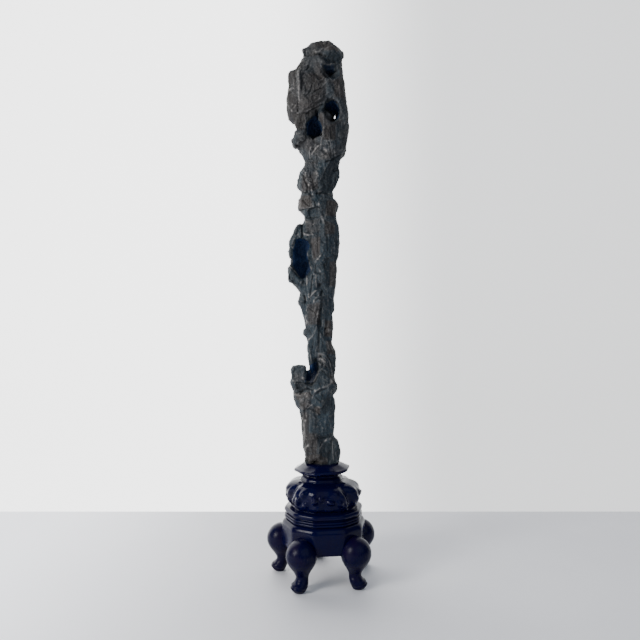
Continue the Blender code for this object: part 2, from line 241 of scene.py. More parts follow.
def stone_material():
    """Dark limestone: charcoal with warm and bluish facets, worn pale edges with painted highlights along
    ridges, thin pale veins, painted shade in dips, cracks and hollows.
    """
    n = Nodes("dark_limestone")
    plain = n.coords()
    tone, warmth_and_shade, wear_and_highlight, vein = [n.attribute(name) for name in ("tone", "warmth_and_shade", "wear_and_highlight", "vein")]
    patches = n.noise(n.coords(scale=(1.0, 1.0, 0.45), turn=BEDDING), 60.0)
    flecks = n.noise(plain, 420.0, 3.0, 0.6)
    grain = n.noise(plain, 1300.0, 2.0, 0.6)
    hue = n.noise(plain, 38.0, 3.0)
    streaks = n.noise(n.coords(scale=(1.0, 1.0, 0.20), turn=BEDDING), 640.0, 2.0, 0.5, 0.4)

    warm_amount = n.math("ADD", warmth_and_shade, n.ramp(hue, 0.38, 0.62, -0.22, 0.18))
    base = n.mix(n.ramp(warm_amount, -0.6, 0.6), COOL_GREY, WARM_GREY)
    base = n.mix(n.ramp(patches, 0.38, 0.62), n.mix(0.3, base, DARK_PATCH), base)
    base = n.mix(n.ramp(flecks, 0.53, 0.66, 0.0, 0.68), base, PALE_FLECK)
    base = n.mix(n.ramp(grain, 0.42, 0.30, 0.0, 0.38), base, DARK_GRAIN)
    base = n.mix(n.ramp(streaks, 0.44, 0.32, 0.0, 0.48), base, DARK_STREAK)
    base = n.mix(n.ramp(streaks, 0.60, 0.72, 0.0, 0.45), base, PALE_STREAK)
    # Worn edges, and painted highlight along edges and ridges.
    worn_and_highlit = n.math("MULTIPLY", wear_and_highlight, n.ramp(flecks, 0.30, 0.60, 0.35, 1.0))
    base = n.mix(worn_and_highlit, base, WORN_EDGE_AND_HIGHLIGHT)
    vein_broken = n.math("MULTIPLY", vein, n.ramp(flecks, 0.30, 0.52, 0.25, 1.0))
    base = n.mix(vein_broken, base, CALCITE)
    # Painted shade: a warmth below -1.2 turns the colour to the near-black navy of the shaded hollows.
    base = n.mix(n.ramp(warmth_and_shade, -1.2, -2.2), base, HOLLOW_SHADE_COLOUR)
    # Brightness of the patches and veins, darkened by painted shade in dips and cracks.
    bright = n.add("ShaderNodeCombineColor", {"Red": tone, "Green": tone, "Blue": tone}).outputs[0]
    base = n.mix(1.0, base, bright, "MULTIPLY")

    normal = n.bump(n.math("MULTIPLY_ADD", grain, 0.35, flecks), 1.0, 0.0011)
    n.set(Base_Color=base, Roughness=n.ramp(flecks, 0.35, 0.7, 0.52, 0.76), Normal=normal)
    n.set(Specular_IOR_Level=0.36)
    return n.material


def lacquer_material(name, base_colour, brown_colour, roughness):
    """Black lacquered hardwood: satin gloss, faint long grain, a brown-violet cast where it is rubbed."""
    n = Nodes(name)
    grain = n.noise(n.coords(scale=(1.0, 1.0, 0.10)), 900.0, 4.0, 0.6, 0.3)
    cloud = n.noise(n.coords(), 45.0, 3.0)
    pores = n.noise(n.coords(scale=(1.0, 1.0, 0.18)), 2600.0, 2.0, 0.5)
    base = n.mix(n.ramp(cloud, 0.42, 0.66), base_colour, brown_colour)
    base = n.mix(n.ramp(pores, 0.62, 0.75, 0.0, 0.4), base, WOOD_PORE)
    rough = n.math("ADD", n.ramp(cloud, 0.35, 0.70, roughness - 0.04, roughness + 0.06),
                   n.ramp(grain, 0.35, 0.65, -0.02, 0.03))
    normal = n.bump(n.math("MULTIPLY_ADD", pores, 0.3, grain), 0.10, 0.0004)
    n.set(Base_Color=base, Roughness=rough, Normal=normal)
    n.set(Specular_IOR_Level=0.105)
    return n.material


def glow_across(n, *ramp):
    """Emission that changes from left to right, as from a window on the left."""
    across = n.add("ShaderNodeSeparateXYZ", {"Vector": n.coords()}).outputs["X"]
    n.set(Emission_Strength=n.ramp(across, *ramp))


def floor_material():
    n = Nodes("pale_table")
    cloud = n.noise(n.coords(), 6.0, 3.0)
    n.set(Base_Color=n.mix(n.ramp(cloud, 0.3, 0.7), *TABLE_PAINT))
    glow_across(n, -0.42, -0.05, 1.0, 0.0)
    n.set(Emission_Color=TABLE_GLOW, Roughness=0.55)
    return n.material


def wall_material():
    n = Nodes("white_wall")
    glow_across(n, -0.32, 0.54, 3.4, 1.2)
    n.set(Base_Color=WALL_PAINT, Emission_Color=WALL_GLOW, Roughness=0.9)
    return n.material


# ---------------- stone: the fine mesh
FUSE_VOXEL, STONE_VOXEL = 1.2, 0.8  # grain of the remesh that fuses the forms, and of the last
MERGE_DISTANCE = 1e-6  # m, between corners that are one
STONE_TRIANGLES = 190_000  # most that the finished surface may have

# Forms set on the solid before the fine remesh, in front-plane millimetres (x, depth, z):
# kind, centre, half-sizes, tilt about X, tilt about Y.
STONE_ADDS = [
    ("block", (-27.0, -6, 217), (7.4, 9, 12.2), 0, -2),  # squared stub of the fork
    ("ball", (-14.0, -4, 242), (3.4, 6, 22), 0, -5),  # outer edge of the column above the fork
    ("ball", (6.1, 13, 510), (6.3, 11, 10), 0, 0),  # walls that narrow the way through the head
    ("ball", (17.4, 13, 510), (3.2, 11, 9), 0, 0),
    ("ball", (3.6, -3, 502), (6.0, 7, 8.5), 0, 25),  # sloping ledge at its lower left
    ("block", (-16.8, -6, 570.0), (6.0, 7, 5.0), 0, -10),  # shoulder of the crown
    ("ball", (-31.6, 3, 521), (9.4, 8, 24), 0, 2),  # swell of the cheek
    ("ball", (-28.6, -5, 475), (6.4, 7, 7), 0, 0),  # lobe under the cheek
    ("ball", (11.8, -4, 437), (4.6, 8, 15), 0, 10),  # edge of the waist's dark face
    ("ball", (6.2, -4, 418), (4.5, 7, 8), 0, 0),
    ("ball", (11.2, -4, 366), (5.8, 8, 26), 0, 0),  # right edge of the trunk
    ("ball", (10.0, -3, 324), (3.6, 7, 24), 0, 4),
    ("ball", (6.8, -3, 272), (3.4, 7, 18), 0, 0),
    ("ball", (-31.4, -4, 372), (3.6, 6, 15), 0, 22),  # rim of the long hollow
    ("ball", (-35.8, -4, 354), (2.4, 5, 7), 0, 0),
    ("ball", (-35.3, -4, 332), (4.0, 6, 8), 0, -6),
    ("ball", (8.5, -3, 176), (3.6, 7, 26), 0, 0),  # outer strip of the foot
    ("block", (-16.4, -4, 131), (4.0, 6, 6.8), 0, 0),  # corners of the foot
    ("block", (12.6, -3, 130), (4.0, 6, 5.8), 0, 0),
]
STONE_CUTS = [
    ("ball", (-10.4, -15, 228), (1.7, 9, 11), 0, 10),  # slit between column and slab
    ("ball", (-4.6, -15, 486), (3.6, 10, 8), 0, 0),  # right end of the lower hollow
    ("ball", (-6.6, -15, 502), (1.6, 9, 5), 0, -20),
    ("ball", (12.5, 4, 506.2), (1.2, 45, 4.0), 22, 0),  # narrow way through the head
]


def add_form(bm, kind, centre, half, tilt_x, tilt_y):
    if kind == "ball":
        verts = bmesh.ops.create_icosphere(bm, subdivisions=3, radius=1.0)["verts"]
    else:
        verts = bmesh.ops.create_cube(bm, size=2.0)["verts"]
    turn = Euler((math.radians(tilt_x), math.radians(tilt_y), 0.0)).to_matrix().to_4x4()
    place = Vector(centre) + Vector((FRONT_PLANE_X, FRONT_PLANE_Y, 0.0))
    size = Matrix.Diagonal((*half, 1.0))
    bmesh.ops.transform(bm, matrix=Matrix.Translation(place) @ turn @ size, verts=verts)


def forms_mesh(name, forms):
    bm = bmesh.new()
    for form in forms:
        add_form(bm, *form)
    bmesh.ops.scale(bm, vec=(MM, MM, MM), verts=bm.verts)
    return finished_mesh(name, bm)


def fine_stone():
    """The stone's solid with its forms added and cut, remeshed finely."""
    bm = bmesh.new()
    bm.from_mesh(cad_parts["stone"].data)
    bmesh.ops.remove_doubles(bm, verts=bm.verts, dist=MERGE_DISTANCE)
    bm.from_mesh(forms_mesh("rock_adds", STONE_ADDS))
    stone = new_object("rock_surface", finished_mesh("rock_surface", bm))
    cutter = new_object("rock_cuts", forms_mesh("rock_cuts", STONE_CUTS))
    add_modifier(stone, "REMESH", mode="VOXEL", voxel_size=FUSE_VOXEL * MM)
    add_modifier(stone, "BOOLEAN", operation="DIFFERENCE", object=cutter)
    add_modifier(stone, "REMESH", mode="VOXEL", voxel_size=STONE_VOXEL * MM)
    bake(stone)
    bpy.data.objects.remove(cutter, do_unlink=True)
    return stone


def relax(values, edges, rounds):
    """Average places over neighbouring vertices."""
    share = np.bincount(edges.ravel(), minlength=len(values)).astype(float)[:, None]
    for _ in range(rounds):
        total = np.zeros_like(values)
        np.add.at(total, edges[:, 0], values[edges[:, 1]])
        np.add.at(total, edges[:, 1], values[edges[:, 0]])
        values = 0.5 * values + 0.5 * total / share
    return values


def smoothed_normals(places, faces):
    """Vertex normals of moved places, from the mesh's quads."""
    a, b, c, d = (places[faces[:, i]] for i in range(4))
    across = np.cross(c - a, d - b)
    normals = np.zeros_like(places)
    for i in range(4):
        np.add.at(normals, faces[:, i], across)
    return normals / np.maximum(np.linalg.norm(normals, axis=1), TINY)[:, None]


# ---------------- stone: figures on its surface
# All of these lie in the front plane, in millimetres (x, z), and work on the side that faces the front.
# Broken faces: how fast the face recedes to the right and upwards, how deep it is pressed, outline.
PLATES = [
    (-0.1, 0.55, 0, (-10, 587), (6, 588), (12, 584), (3, 580), (-3, 574), (-9, 576)),
    (0.65, 0.3, 0, (3, 580), (12, 584), (18, 577), (21, 570), (10, 572)),
    (0.25, -0.8, 0.5, (-2, 574), (4, 579), (13, 575), (20, 569), (19, 563), (1, 563)),
    (-0.6, 0.15, 0, (-22, 580), (-12, 584), (-9, 576), (-12, 569), (-22, 571)),
    (-0.25, -0.1, 0, (-22, 571), (-12, 570), (-4, 562), (3, 550), (-6, 545), (-16, 558), (-26, 560)),
    (-0.05, 0.05, 0.3, (-26, 557), (-14, 559), (2, 549), (0, 524), (-12, 515), (-26, 508)),
    (-0.95, 0, 0, (-28, 559), (-39, 551), (-41, 535), (-41, 520), (-36, 506), (-28, 508)),
    (0.35, 0, 0, (5, 545), (20, 545), (23, 530), (25, 520), (14, 526), (2, 528)),
    (-0.1, -0.65, 0.8, (-30, 507), (-12, 513), (-2, 518), (-6, 508), (-19, 501), (-26, 491), (-33, 494)),
    (-0.45, 0.25, 0, (-33, 490), (-22, 491), (-19, 484), (-19, 476), (-29, 471), (-34, 477)),
    (0.35, 0.1, 0.2, (1, 490), (16, 498), (27, 500), (27, 480), (25, 468), (12, 461), (9, 472), (-1, 477)),
    (0.85, -0.45, 0.6, (24, 465), (16, 456), (17, 446), (5, 440), (2, 452), (10, 459)),
    (0.6, -0.2, 0.4, (2, 452), (16, 446), (13, 420), (-7, 420), (-4, 438)),
    (-0.05, 0.25, -0.4, (-5, 473), (8, 476), (8, 458), (-3, 456), (-10, 463)),
    (-0.35, 0.1, 0, (-22, 456), (-7, 458), (-5, 440), (-12, 430), (-26, 440)),
    (-0.25, -0.25, 0.2, (-26, 438), (-12, 430), (-10, 420), (-26, 420)),
    (-0.4, 0.45, 0, (-27, 414), (-11, 418), (-4, 407), (-20, 403), (-28, 402)),
    (-0.05, -0.75, 1, (-28, 400), (-20, 403), (-5, 405), (-5, 393), (-21, 391)),
    (0.45, 0.05, 0, (4, 413), (14, 412), (15, 402), (12, 395), (2, 400)),
    (-0.35, 0.1, 0, (-21, 391), (-3, 392), (-4, 376), (-20, 375)),
    (-0.4, 0, 0, (-19, 374), (-4, 376), (-3, 352), (-13, 340), (-15, 352)),
    (0.45, 0.05, 0, (-2, 388), (15, 384), (16, 352), (8, 350), (0, 352)),
    (0.4, -0.05, 0.3, (0, 350), (15, 350), (13, 318), (1, 318)),
    (-0.3, -0.2, 0, (-38, 340), (-25, 326), (-28, 314), (-39, 326)),
    (-0.45, -0.05, 0, (-24, 325), (-12, 333), (-9, 316), (-16, 302), (-28, 302)),
    (-0.45, 0, 0, (-28, 300), (-8, 303), (-4, 290), (-8, 272), (-22, 280)),
    (-0.55, 0.05, 0, (-19, 274), (-8, 272), (-8, 250), (-15, 238), (-17, 256)),
    (0.5, 0, 0.2, (-2, 308), (11, 304), (9, 270), (-3, 272)),
    (0.42, 0.1, 0, (-4, 270), (9, 266), (13, 246), (-1, 244)),
    (-0.05, 0.25, -0.3, (-5, 243), (4, 236), (8, 222), (4, 210), (-3, 207), (-10, 212), (-7, 226)),
    (0.95, 0, 0.6, (5, 241), (13, 241), (12, 216), (9, 218)),
    (-0.3, 0.05, 0, (-33, 229), (-22, 229), (-21, 215), (-30, 211), (-35, 220)),
    (-0.05, -0.25, 1.2, (-31, 211), (-12, 210), (-12, 205), (-31, 201)),
    (-0.5, 0.25, -0.2, (-32, 199), (-14, 203), (-13, 191), (-20, 182), (-25, 181)),
    (0.05, 0.2, 0, (-12, 199), (4, 206), (2, 192), (-4, 184), (-13, 187)),
    (0.12, -0.03, 0.2, (-17, 182), (-3, 184), (5, 195), (8, 172), (8, 154), (-5, 150), (-16, 154)),
    (-1.3, 0, 0, (-25, 178), (-18, 179), (-17, 152), (-17, 128), (-21, 128), (-24, 150)),
    (0.85, 0, 0.2, (8, 205), (14, 205), (12, 190), (11, 152), (8, 152)),
    (0.85, 0.1, 0, (10, 149), (17, 138), (17, 125), (10, 125)),
    (-0.15, 0.1, 0, (-17, 150), (0, 148), (-6, 138), (-8, 125), (-17, 125)),
    (0.25, -0.03, 0, (3, 152), (9, 152), (9, 125), (-5, 125), (-5, 138)),
]
PLATE_EDGE = 1.6  # mm inside its outline, where a face is fully pressed
PLATE_SHARE, PLATE_REACH = 0.9, 4.0  # the surface goes this share of the way, and this far at most

# Raised edges (positive) and cracks (negative): half-width, height, points.
STROKES = [
    (1.3, -2.4, (-10, 574), (-4, 573.6), (2, 571)), (1, 0.9, (-9, 576), (-5, 576), (-1, 580)),
    (2.2, 1.8, (-5, 568), (-2, 565)), (1.1, 0.9, (-3, 561), (0, 557), (4, 549)),
    (1.1, -1.5, (-24, 556), (-19, 556.5), (-16, 560)), (1, 0.9, (-22, 560), (-17, 562)),
    (1.1, -1.3, (-12, 530), (-8, 533), (-3, 536)), (0.7, 0.8, (-2, 537), (5, 545)),
    (0.7, -0.9, (-3, 542), (3, 549)), (0.8, -0.9, (-21, 526), (-15, 532), (-13, 538)),
    (0.9, -0.9, (-24, 543), (-21, 548)), (0.8, 0.6, (-22, 536), (-17, 545)),
    (1.2, 0.45, (-27, 558), (-27.3, 540), (-27, 517)), (0.8, -0.9, (-25.5, 555), (-25.3, 540), (-25.5, 524)),
    (0.9, -1.2, (-38, 530), (-34, 533), (-32, 541)), (1, 0.9, (-39, 534), (-35, 536), (-32, 545)),
    (0.9, -1, (-37, 512), (-33, 517), (-30, 520)),
    (1.2, -2, (-29, 507), (-17, 509), (-12, 513), (-1, 518.5)),
    (1, 0.6, (-28, 509), (-17, 511.5), (-8, 516)), (0.6, -0.6, (-29, 503), (-28.5, 495)),
    (0.6, -0.6, (-25.5, 503), (-25, 494)), (1.3, -2.2, (-34, 492), (-28, 490.5), (-22, 492)),
    (1.2, 1, (-5.5, 507), (-5, 501), (-1, 494), (0.5, 488)), (1, 1, (0, 491), (-1.5, 482), (-3, 474)),
    (1, 0.9, (-31, 487), (-26, 482), (-22, 484)), (1, -0.9, (-28, 480), (-24, 476), (-21, 478)),
    (1.8, -1.6, (-30, 472), (-26, 471)), (1.6, -1.6, (-12, 482), (-10, 476), (-5, 474)),
    (0.8, 0.9, (-15, 458), (-15.5, 466), (-13, 472), (-11, 471)), (1, 1.2, (-13, 463), (-9, 469), (-4, 474)),
    (1, 0.8, (-2, 477), (4, 478), (9, 479)), (0.8, -1.2, (6, 476), (8, 466), (8.5, 459)),
    (0.7, 0.8, (10, 474), (10, 466), (8.8, 460)), (0.9, 0.7, (25, 468), (19, 468), (12, 461)),
    (1.2, -1.6, (24, 464), (16, 461), (9, 457), (3, 455)), (0.8, 0.6, (12, 456), (8, 445), (4, 434)),
    (0.9, 1, (9, 460), (2, 447), (-4, 435), (-9, 421)), (0.9, -0.9, (-8, 462), (-3, 461), (3, 464)),
    (1, -1.2, (-12, 455), (-11, 449), (-8, 446)), (0.9, -1.6, (-24, 441), (-21, 434), (-17, 426)),
    (1, 1, (-22, 446), (-18, 437), (-15, 430)), (0.9, 1, (-9, 446), (-6, 440), (-10, 431)),
    (0.8, -1.1, (-14, 440), (-12, 433), (-10, 427)), (1.2, -1.5, (-26, 420), (-18, 421), (-12, 417)),
    (1.2, -1.2, (9, 417), (2, 420), (-8, 420)), (0.9, 0.9, (-13, 418), (-10, 423)),
    (0.8, -0.8, (-24, 414), (-20, 409), (-15, 405)), (0.9, -1.2, (-10, 411), (-9, 406), (-5, 404)),
    (0.9, -1.4, (-27, 400.5), (-20, 402.6), (-5, 404)), (0.8, -0.8, (-21, 392), (-12, 393), (-5, 394)),
    (1.2, 0.9, (-3, 396), (-1, 391), (1, 387)), (0.8, 0.7, (-20, 386), (-14, 388), (-10, 384)),
    (0.8, -1.1, (-21, 377), (-14, 376), (-9, 377)), (0.9, 0.9, (-19, 374), (-12, 375)),
    (0.9, -1, (-14, 373), (-15, 368), (-14, 364)), (0.7, 0.6, (-10, 372), (-10, 360)),
    (0.8, -0.8, (-6, 378), (-7, 362), (-6, 353)), (0.9, 1.1, (-17, 357), (-18, 350), (-14, 338)),
    (0.8, 0.7, (-14, 362), (-12, 350), (-11, 342)), (0.8, 0.7, (12, 372), (12, 358), (10, 345)),
    (0.8, -0.8, (14, 378), (15, 362)), (1.2, -0.7, (4, 372), (5, 352), (3, 340)),
    (1.1, 1.4, (-9, 346), (-5, 349), (-3, 352)), (0.8, -1.5, (-9, 341), (-9, 333), (-3, 331)),
    (1, 1.2, (-6, 338), (-4, 334)), (1.2, -1.2, (0, 342), (2, 338)), (0.9, 1.2, (-8.8, 330), (-8.6, 316)),
    (0.9, 1.1, (-18.8, 333), (-18.4, 318), (-16, 308)), (0.9, -1.2, (-12, 329), (-13, 318), (-16, 304)),
    (0.9, 0.9, (-38, 341), (-33, 335), (-24, 325)), (0.8, 1, (-20, 309), (-19, 303), (-16, 299)),
    (0.9, 1.1, (-15, 305), (-12, 310), (-8, 313)), (0.8, -2, (-21, 307), (-20.6, 299)),
    (0.8, -1, (-11, 308), (-6, 306), (-3, 309)), (1, 0.9, (-11, 301), (-9, 305), (-6, 307)),
    (0.8, -0.9, (-9, 302), (-4, 305)), (1.6, -1.6, (-2, 312), (-3, 292), (-5, 272), (-6, 246)),
    (0.9, 0.9, (-4, 302), (-4, 294), (-7, 288), (-8, 280)), (0.8, 0.7, (4, 308), (6, 292), (8, 280)),
    (0.8, 0.6, (1, 300), (1, 276), (-1, 256)), (0.8, -0.8, (8, 282), (9, 274)),
    (1, 0.9, (-18, 296), (-19, 290)), (0.9, -0.9, (-17, 294), (-10, 289), (-8, 284)),
    (0.8, 0.9, (-17, 258), (-13, 262), (-10, 266), (-8, 273)), (1.2, -0.9, (-16, 269), (-14, 265)),
    (0.8, 0.7, (-8, 262), (-8, 250), (-9, 243)), (0.9, 0.8, (-16, 250), (-14, 240), (-13, 233)),
    (0.8, 0.8, (3, 257), (5, 250), (7, 247)), (0.9, 1, (-5, 244), (1, 242), (6, 235), (9, 224), (10, 215)),
    (0.9, -1.2, (4, 242), (8, 234), (11, 222)), (0.9, -1, (-6, 235), (-2, 232), (3, 229)),
    (0.9, -0.9, (-4, 226), (1, 223), (5, 219)), (1, 1.1, (-5, 224), (-8, 217), (-11, 211)),
    (0.9, 0.8, (-1, 216), (4, 213)), (0.9, -1.4, (-32, 212), (-22, 211), (-12, 210)),
    (0.9, 0.8, (-33, 214), (-31, 211)), (0.9, -1.8, (-31, 200), (-24, 202), (-17, 204.5), (-13, 203)),
    (0.9, 0.8, (-31, 198), (-26, 197), (-20, 199)), (0.9, -1.5, (-16, 201), (-13, 197)),
    (0.8, 0.7, (-13, 193), (-11, 200), (-4, 205), (4, 207), (9, 210)),
    (0.7, -1, (-10, 198), (-3, 203), (4, 205.5)), (0.8, -0.8, (-8, 195), (-3, 190), (-1, 198)),
    (0.9, 0.9, (-19, 182), (-13, 187)), (0.8, -0.9, (-17, 183), (-10, 181), (-4, 176)),
    (0.9, -1, (-22, 190), (-21, 180), (-20, 172)), (1, 0.7, (-19, 182), (-20, 172), (-20, 160), (-21, 146)),
    (0.9, -0.7, (-17, 176), (-17, 156)), (0.9, 0.7, (8, 200), (7, 180), (8, 162)),
    (0.8, -0.3, (-12, 152), (-4, 150), (2, 150.5)), (0.8, 0.8, (-6, 134), (-4, 140), (0, 146), (3, 149)),
    (1, 0.9, (-20, 139), (-16, 144)), (0.9, -0.8, (-19, 137), (-12, 134), (-9, 131)),
    (0.9, 0.7, (9.5, 149), (9.7, 138), (11, 125)), (0.9, 0.7, (12.5, 144), (13.5, 134), (15, 124)),
    (0.8, -0.9, (11, 144), (11.8, 130)),
]
STROKE_WIDTH = 0.8  # share of the half-widths above
BRUSH_REACH = 4.0  # mm from a path, beyond which nothing is marked
RIDGE_SHARE = 0.65  # share of the heights, for raised edges

# Deep cuts with steep walls: depth, outline.
RECESSES = [
    (5, (-3, 562), (3, 563), (14, 562), (15, 556), (8, 551), (3, 552)),
    (2.2, (1, 557), (16, 557), (17, 549), (10, 545), (5, 549)),
    (5, (-20, 497), (-14, 502), (-6.5, 511), (-5.5, 502), (-1.5, 495), (-1.5, 484), (-9, 482),
     (-18, 484)),
    (4, (2, 512), (1, 520), (5, 526), (10, 524), (15, 518), (17, 510), (16, 503), (10, 499), (9, 506)),
    (1.6, (-30, 369), (-24, 371), (-19, 369), (-15.5, 364), (-17.5, 356), (-18.5, 350), (-16.5, 342),
     (-14, 336), (-18, 333), (-20, 327), (-24, 325), (-28, 329), (-34, 339), (-34.5, 348), (-32, 354),
     (-33, 361)),
    (3, (-25, 386), (-23, 386), (-22, 371), (-25, 371)),
    (3, (-12, 211), (-8, 218), (-6.5, 226), (-6.5, 238), (-10, 237), (-13, 226), (-21, 228), (-20, 211)),
]
RECESS_RIM, RECESS_WALL = 0.6, 2.0  # mm: start outside the outline, and width of the wall

# Pale veins and chalky spots: half-width, strength, points.
VEINS = [
    (0.8, 0.8, (-28.5, 560), (-25.6, 557.5)), (0.8, 0.7, (-27.8, 554), (-27.6, 546), (-27, 543)),
    (0.9, 0.75, (-27.2, 541), (-27.6, 530), (-27, 523), (-28, 517)),
    (1.1, 0.9, (-40, 533), (-37, 534), (-34, 535.5)), (0.7, 0.5, (-33, 538), (-33, 541), (-32, 545)),
    (0.7, 0.5, (-22.5, 549), (-22, 544)), (0.6, 0.5, (-22.5, 533), (-22.2, 530)),
    (0.9, 0.5, (-35, 518), (-31, 517), (-33, 514)), (0.9, 0.6, (-36, 513), (-35, 510)),
    (1, 0.6, (-31, 510), (-29, 508)), (0.6, 0.45, (-2, 537), (5, 545)), (0.9, 0.4, (17, 538), (17.5, 534)),
    (0.8, 0.55, (-9, 576), (-5, 576), (-1, 580)), (1.2, 0.35, (-22, 578), (-19, 576)),
    (1, 0.4, (-31, 487), (-27, 486)), (1.2, 0.45, (-18, 479), (-17, 474)),
    (0.9, 0.75, (-13, 463), (-9, 469), (-6, 472.5)), (0.7, 0.5, (-15.2, 458), (-15.6, 466), (-14, 471.5)),
    (1.5, 0.8, (1, 468.5), (2.5, 467)), (2, 0.35, (-2, 463), (2, 460)), (1, 0.4, (4, 478), (9, 478)),
    (1, 0.6, (0.5, 492), (1, 494)), (0.7, 0.35, (-1, 489), (-2, 480), (-3, 474)),
    (1, 0.6, (-20.5, 443), (-18.5, 442)), (0.9, 0.9, (-19, 436), (-18.5, 435)),
    (0.9, 0.9, (-16, 435), (-15.5, 433)), (1, 0.9, (-17, 430), (-16.5, 428)),
    (1.1, 0.55, (-9, 443), (-6, 439)), (1, 0.8, (-14.5, 424), (-13, 423)),
    (0.8, 0.8, (-12.5, 419), (-11.5, 421)), (1, 0.9, (-5.5, 410), (-5.5, 407)),
    (1.4, 0.45, (-26, 412), (-26.5, 404)), (0.8, 0.35, (-22, 402.5), (-14, 404)),
    (1.3, 0.6, (-2, 394), (0, 389)), (1.1, 0.45, (-20, 389), (-15, 387)),
    (0.9, 0.6, (-12.5, 385), (-11, 386)), (1.3, 0.85, (-21.5, 375.5), (-17, 374)),
    (1.1, 0.85, (-14, 376), (-12, 375)), (1.2, 0.5, (-28, 375), (-32, 372), (-34.5, 364)),
    (0.9, 0.8, (-35.5, 361), (-34, 360)), (0.8, 0.7, (-38, 340), (-33, 335), (-27, 328)),
    (0.8, 0.6, (-17.5, 355), (-18, 349), (-15, 341), (-13.5, 336)), (1, 0.9, (-9.5, 344), (-6, 348)),
    (0.9, 0.9, (-4.5, 351), (-4.2, 350)), (1, 0.8, (-5, 336), (-3.8, 334)),
    (0.8, 0.7, (-11.5, 332), (-11, 331)), (0.8, 0.9, (-8.9, 330), (-8.7, 322), (-8.3, 317)),
    (0.8, 0.75, (-18.8, 333), (-18.6, 320)), (0.7, 0.7, (-12.5, 324), (-12.5, 321)),
    (1.8, 0.4, (-25, 322), (-24, 320)), (1.3, 0.5, (-27, 314), (-26, 311)),
    (1.1, 0.8, (-17, 308), (-16.4, 305)), (0.6, 0.6, (-20.5, 307), (-18.5, 301)),
    (0.9, 0.9, (-14, 306), (-12, 310), (-9, 312.5)), (1, 0.8, (-11, 300), (-10.5, 302)),
    (1, 0.4, (-8, 305), (-5, 308)), (1, 0.85, (-6.7, 288), (-6.8, 283)), (0.8, 0.45, (-19, 291), (-17, 297)),
    (0.8, 0.7, (-19.8, 286), (-19.8, 281)), (1.2, 0.85, (-18.5, 280), (-19.5, 276)),
    (0.8, 0.75, (-17.5, 258.5), (-13, 262), (-10.5, 266)), (0.6, 0.3, (-9.8, 268), (-8, 272)),
    (0.8, 0.35, (-8, 252), (-8, 246)), (0.9, 0.4, (-15, 242), (-13.5, 235)),
    (0.8, 0.7, (4, 256), (5, 252), (6.2, 248)), (1.6, 0.5, (-5, 243), (-2, 242)),
    (1.8, 0.75, (-5, 238), (-2, 236)), (1.4, 0.4, (0, 235), (2, 233)),
    (0.9, 0.7, (6, 236), (8, 228), (9, 219)), (1.8, 0.95, (9, 216), (8.5, 212)),
    (0.7, 0.6, (8, 211), (4, 208), (-3, 206), (-8, 203)), (1.3, 0.9, (-10, 203), (-9, 202)),
    (0.9, 0.6, (-11, 198), (-13.5, 193)), (0.9, 0.8, (-6, 224), (-7, 220), (-9, 216), (-11, 212)),
    (0.9, 0.4, (1, 225), (3, 224)), (1.1, 0.8, (-23.5, 217), (-21.5, 215.5)),
    (1, 0.8, (-34, 214), (-32, 211)), (1.1, 0.7, (-34, 203), (-32, 199)),
    (1, 0.5, (-31, 198.5), (-26, 197.5)), (1.5, 0.7, (-22, 199), (-18.5, 199.5), (-19, 196)),
    (2.2, 0.25, (-26, 193), (-23, 189)), (0.9, 0.95, (-18, 184), (-14, 186.5)),
    (0.8, 0.7, (-17, 188), (-16, 187.5)), (0.8, 0.8, (-6, 184.5), (-4.5, 183.5)),
    (0.9, 0.75, (-19.5, 178), (-19.5, 174)), (0.9, 0.8, (-23.5, 172.5), (-23.3, 171)),
    (1.3, 0.9, (-21, 170), (-20, 169.5)), (1.5, 0.95, (-21.5, 165), (-21, 163.5)),
    (0.9, 0.6, (-22.3, 158), (-22, 146)), (1.1, 0.5, (-19.5, 153), (-19, 149)),
    (1.2, 0.95, (-20.5, 138.5), (-17, 142.5)), (1.1, 0.5, (-19, 130), (-19, 127)),
    (1.4, 0.75, (1, 148), (3, 148)), (0.7, 0.4, (-4, 140), (-1, 144.5)), (0.5, 0.35, (4, 149), (9, 149.5)),
    (0.8, 0.15, (9.6, 148), (9.5, 138), (10.5, 128)), (0.8, 0.4, (13.5, 127), (15, 124)),
]
VEIN_WIDTH = 0.7  # share of the half-widths above
VEIN_TONE = 1.15  # brightness of the stone under a vein
